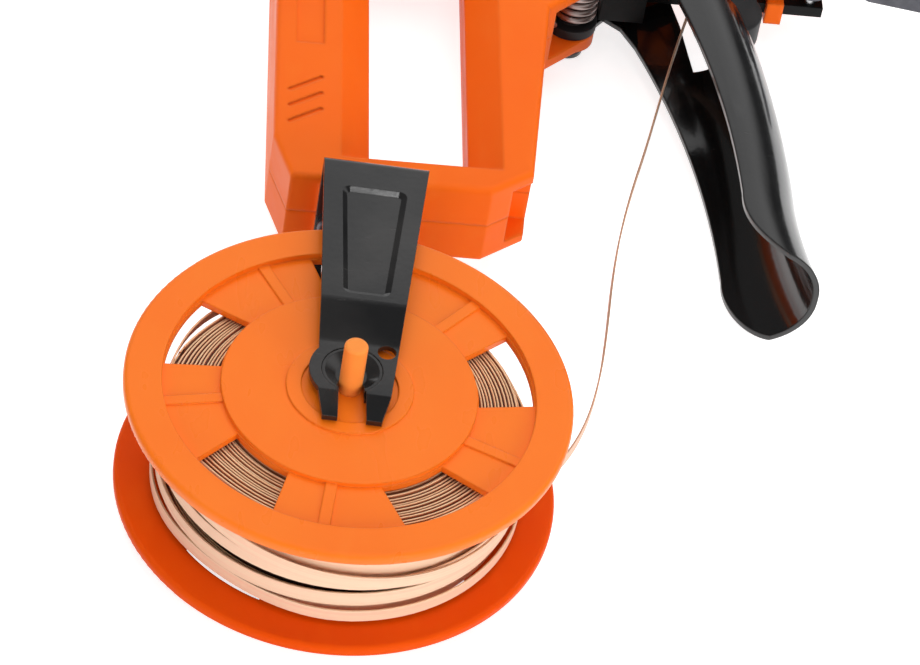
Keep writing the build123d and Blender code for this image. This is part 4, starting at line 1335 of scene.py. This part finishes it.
    def core(self) -> bpy.types.Object:
        """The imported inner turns, a stepped ring that closes the view between the loose ones.

        Returns:
            The ring as a plain mesh.
        """
        low, high, step = -self.edge_z + self.core_low, self.edge_z - self.core_high, self.core_step
        far, near = self.far_r - self.core_in[0], self.near_r - self.core_in[1]
        slope, rim = self.core_bevel
        outline = [
            (self.hub_r, low),
            (far - slope, low),
            (far, low + rim),
            (far, step - rim),
            (far - slope, step),
            (near, step + slope),
            (near, high - rim),
            (near - slope, high),
            (self.hub_r, high),
        ]
        shape = bmesh.new()
        rings = []
        for k in range(self.steps):
            angle = math.tau * k / self.steps
            rings.append([shape.verts.new(round_axle(r, angle, z)) for r, z in outline])
        for k in range(self.steps):
            here, there = rings[k], rings[(k + 1) % self.steps]
            for i in range(len(outline)):
                j = (i + 1) % len(outline)
                shape.faces.new((here[i], there[i], there[j], here[j]))
        bmesh.ops.recalc_face_normals(shape, faces=shape.faces)
        mesh = bpy.data.meshes.new("winding_core")
        shape.to_mesh(mesh)
        shape.free()
        # The core wears painted shade: dark brown where only shade shows between the loose turns.
        mesh.materials.append(SHADED_CORE.material())
        return placed("winding_core", mesh)

    def build(self) -> None:
        """Makes the winding and seats it on the spool."""
        sweep = SweptSection(Section.FLAT)
        tight = [self.edge_turns(1, self.near_r, self.near_bulges), self.edge_turns(-1, self.far_r, ())]
        loose = [self.flat_turn(turn, number) for number, turn in enumerate(self.loose)]
        astray = [self.stray_turn(stray) for stray in self.strays]
        # The tight and stray turns wear the ribbon with painted shade on their flat sides and a painted
        # highlight on their edges.
        edges = sweep.bake("tight_turns", tight, self.width * MM, self.tight * MM, SHADED_AND_LIT_TIGHT_RIBBON)
        turns = sweep.bake("loose_turns", loose, self.width * MM, self.thickness * MM, RIBBON)
        stray = sweep.bake(
            "stray_turns", astray, self.width * MM, self.thickness * MM, SHADED_AND_LIT_TIGHT_RIBBON, self.stray_lean
        )
        settle(turns, Body.SPOOL, "tie_ribbon", "ribbon_pack")
        settle(edges, Body.SPOOL, "tie_ribbon")
        settle(stray, Body.SPOOL, "tie_ribbon")
        settle(self.core(), Body.SPOOL, "tie_ribbon")


@dataclass
class FreeRibbon:
    """The ribbon that runs free from the winding over the roller into the head.

    Attributes:
        width: width of the ribbon in millimetres.
        thickness: thickness of the ribbon.
        route: the run's points, as drawn.
    """

    width: float = 4.0
    thickness: float = 0.5
    route: tuple[tuple[float, float], ...] = (
        (46.898, -16.148),
        (56.3, -4.8),
        (63.6, 9.8),
        (68.1, 28.0),
        (70.6, 46.0),
        (72.6, 64.0),
        (75.4, 82.0),
        (79.4, 100.0),
        (84.4, 118.5),
        (89.3, 139.0),
        (94.2, 158.5),
        (99.89, 179.64),
        (106.6, 200.2),
    )

    def build(self) -> None:
        line = bpy.data.curves.new("free_ribbon", "CURVE")
        line.dimensions = "3D"
        line.twist_mode = "Z_UP"
        line.resolution_u = 10
        spline = line.splines.new("NURBS")
        spline.points.add(len(self.route) - 1)
        for target, (x, y) in zip(spline.points, self.route):
            target.co = (*drawn(x, y), 1.0)
        spline.order_u = 3
        spline.use_endpoint_u = True
        line.bevel_depth = self.thickness / 2 * MM
        line.extrude = (self.width - self.thickness) / 2 * MM
        line.bevel_resolution = 2
        line.use_fill_caps = True
        line.materials.append(RUN_RIBBON.material())
        piece = placed("free_ribbon", line)
        settle(piece, Body.FRAME, "tie_ribbon", "ribbon_run")


@dataclass(frozen=True)
class Softbox:
    """A square studio lamp.

    Attributes:
        name: the lamp's name.
        place: where it stands, in metres.
        size: its side in metres.
        power: its power in watts.
        mirrored: whether it shows in glossy surfaces.
    """

    name: str
    place: Spot
    size: float
    power: float
    mirrored: bool = True

    def build(self, aim: Vector) -> None:
        """Makes the lamp and turns it to the object.

        Args:
            aim: the place that it shines on.
        """
        lamp = bpy.data.lights.new(self.name, "AREA")
        lamp.shape = "SQUARE"
        lamp.size = self.size
        lamp.energy = self.power
        stand = placed(self.name, lamp)
        stand.location = self.place
        stand.visible_glossy = self.mirrored
        stand.rotation_euler = (Vector(self.place) - aim).to_track_quat("Z", "Y").to_euler()


@dataclass
class Studio:
    """The white floor, the surroundings, the lamps and the camera.

    Attributes:
        surround: strength of the light from all round.
        ceiling: how bright the dark ceiling looks in a glossy surface, where the walls are 1.
        ceiling_from: heights of a mirrored ray between which the dark ceiling begins, where straight up is 1.
        left_drop: how much lower the dark ceiling hangs on the left.
        right_wall: how much darker a low wall on the right looks in a glossy surface.
        wall_from: how far to the right a mirrored ray points where that wall begins.
        wall_top: heights of a mirrored ray between which that wall ends.
        floor_half: half the floor's side in metres.
        floor_grey: the floor's colour.
        floor_glow: how much the floor shines by itself where it is looked at.
        aim: the place that the lamps shine on, in metres.
        focal_px: the camera's focal length in pixels of the picture.
        distance: distance from the camera to the spool's axle, in millimetres.
        elevation: the camera's height angle in radians.
        azimuth: the camera's turn round the tool in radians.
        roll: the camera's own turn in radians.
        offset: how far the picture's middle lies from the spool's axle, in millimetres.
        nearest: the shortest distance that the camera shows, in metres.
        lamps: the studio lamps.
    """

    surround: float = 0.38
    ceiling: float = 0.15
    ceiling_from: tuple[float, float] = (0.68, 0.80)
    left_drop: float = 1.2
    right_wall: float = 0.93
    wall_from: tuple[float, float] = (0.40, 0.54)
    wall_top: tuple[float, float] = (0.26, 0.54)
    floor_half: float = 4.0
    floor_grey: Colour = (0.82, 0.82, 0.82)
    floor_glow: float = 0.74
    aim: Spot = (0.0, 0.0, 0.02)
    focal_px: float = 4285.7
    distance: float = 1100.0
    elevation: float = 0.7841
    azimuth: float = -0.1449
    roll: float = 0.1835
    offset: tuple[float, float] = (-30.33, -27.02)
    nearest: float = 0.05
    lamps: tuple[Softbox, ...] = (
        Softbox("key_box", (0.1, 0.9, 1.7), 2.4, 26.0, mirrored=False),
        Softbox("glint_lamp", (0.05, -0.6, 1.5), 0.25, 1.3),
        Softbox("front_box", (0.95, -1.5, 0.42), 1.0, 22.0, mirrored=False),
        Softbox("left_box", (-1.5, -0.9, 0.3), 1.0, 8.0, mirrored=False),
    )

    def looked_at(self, sketch: Sketch) -> bpy.types.NodeSocket:
        """Whether a ray comes from the camera, a glossy surface or through glass.

        Args:
            sketch: the tree to add to.

        Returns:
            A socket that is 1 for such a ray and 0 for any other.
        """
        rays = sketch.node("ShaderNodeLightPath")
        seen = sketch.maths("MAXIMUM", rays.outputs["Is Camera Ray"], rays.outputs["Is Glossy Ray"])
        return sketch.maths("MAXIMUM", seen, rays.outputs["Is Transmission Ray"])

    def build_surround(self) -> None:
        """Makes the white surroundings."""
        world = bpy.data.worlds.new("white_surround")
        world.use_nodes = True
        sketch = Sketch(world.node_tree)
        rays = sketch.node("ShaderNodeLightPath")
        where = sketch.node("ShaderNodeTexCoord").outputs["Generated"]
        ray = sketch.node("ShaderNodeSeparateXYZ", {"Vector": where}).outputs
        left = sketch.maths("MULTIPLY", sketch.maths("MINIMUM", ray["X"], 0.0), -self.left_drop)
        ceiling = sketch.span(sketch.maths("ADD", ray["Z"], left), *self.ceiling_from, 1.0, self.ceiling)
        near = sketch.span(ray["X"], *self.wall_from, 0.0, self.right_wall)
        low = sketch.span(ray["Z"], *self.wall_top, 1.0, 0.0)
        wall = sketch.maths("MULTIPLY", near, low)
        mirrored = sketch.maths("MULTIPLY", ceiling, sketch.maths("SUBTRACT", 1.0, wall))
        glossy, dim, white = (
            sketch.node("ShaderNodeBackground", {"Color": WHITE, "Strength": strength}).outputs[0]
            for strength in (mirrored, self.surround, 1.0)
        )
        plain = sketch.maths("MAXIMUM", rays.outputs["Is Camera Ray"], rays.outputs["Is Transmission Ray"])
        lit = sketch.node("ShaderNodeMixShader", {0: rays.outputs["Is Glossy Ray"], 1: dim, 2: glossy})
        both = sketch.node("ShaderNodeMixShader", {0: plain, 1: lit.outputs[0], 2: white})
        sketch.node("ShaderNodeOutputWorld", {"Surface": both.outputs[0]})
        bpy.context.scene.world = world

    def build_floor(self) -> None:
        """Makes the floor that the tool lies on."""
        mesh = bpy.data.meshes.new("studio_floor")
        far = self.floor_half
        mesh.from_pydata([(-far, -far, 0), (far, -far, 0), (far, far, 0), (-far, far, 0)], [], [(0, 1, 2, 3)])
        floor = placed("studio_floor", mesh)
        paint = bpy.data.materials.new("white_floor")
        paint.use_nodes = True
        sketch = Sketch(paint.node_tree)
        seen = self.looked_at(sketch)
        matt = sketch.node("ShaderNodeBsdfDiffuse", {"Color": self.floor_grey})
        shine = sketch.node("ShaderNodeEmission", {"Color": WHITE, "Strength": self.floor_glow})
        bright = sketch.node("ShaderNodeAddShader", {0: matt.outputs[0], 1: shine.outputs[0]})
        both = sketch.node("ShaderNodeMixShader", {0: seen, 1: matt.outputs[0], 2: bright.outputs[0]})
        sketch.node("ShaderNodeOutputMaterial", {"Surface": both.outputs[0]})
        mesh.materials.append(paint)

    def build_camera(self) -> None:
        """Makes the camera at the picture's place and turn."""
        level, aside, ahead = math.cos(self.elevation), math.sin(self.azimuth), math.cos(self.azimuth)
        back = Vector((aside * level, -ahead * level, math.sin(self.elevation)))
        right = Vector((ahead, aside, 0.0))
        up = back.cross(right)
        across = math.cos(self.roll) * right + math.sin(self.roll) * up
        upward = -math.sin(self.roll) * right + math.cos(self.roll) * up
        lens = bpy.data.cameras.new("picture_camera")
        lens.sensor_width = SENSOR_MM
        lens.lens = self.focal_px / PICTURE_WIDTH * SENSOR_MM
        lens.clip_start = self.nearest
        camera = placed("picture_camera", lens)
        spot = drawn(*(back * self.distance - across * self.offset[0] - upward * self.offset[1]))
        turn = Matrix((across, upward, back)).transposed().to_4x4()
        camera.matrix_world = Matrix.Translation(spot) @ turn
        bpy.context.scene.camera = camera

    def build(self) -> None:
        """Makes the whole studio."""
        bpy.context.scene.view_settings.view_transform = "Standard"
        self.build_surround()
        self.build_floor()
        self.build_camera()
        for lamp in self.lamps:
            lamp.build(Vector(self.aim))


def main() -> None:
    """Builds the studio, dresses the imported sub-assemblies and adds the wound and bent pieces."""
    logging.basicConfig(level=logging.INFO, format="%(name)s: %(message)s")
    Studio().build()
    FreeRibbon().build()
    for group in (GRIP, SPOOL, BRACKET, LEVER, HEAD, FEED, DRIVE, POWER):
        group.dress()
    LeverSpring().build()
    RibbonWinding().build()


if __name__ == "__main__":
    main()
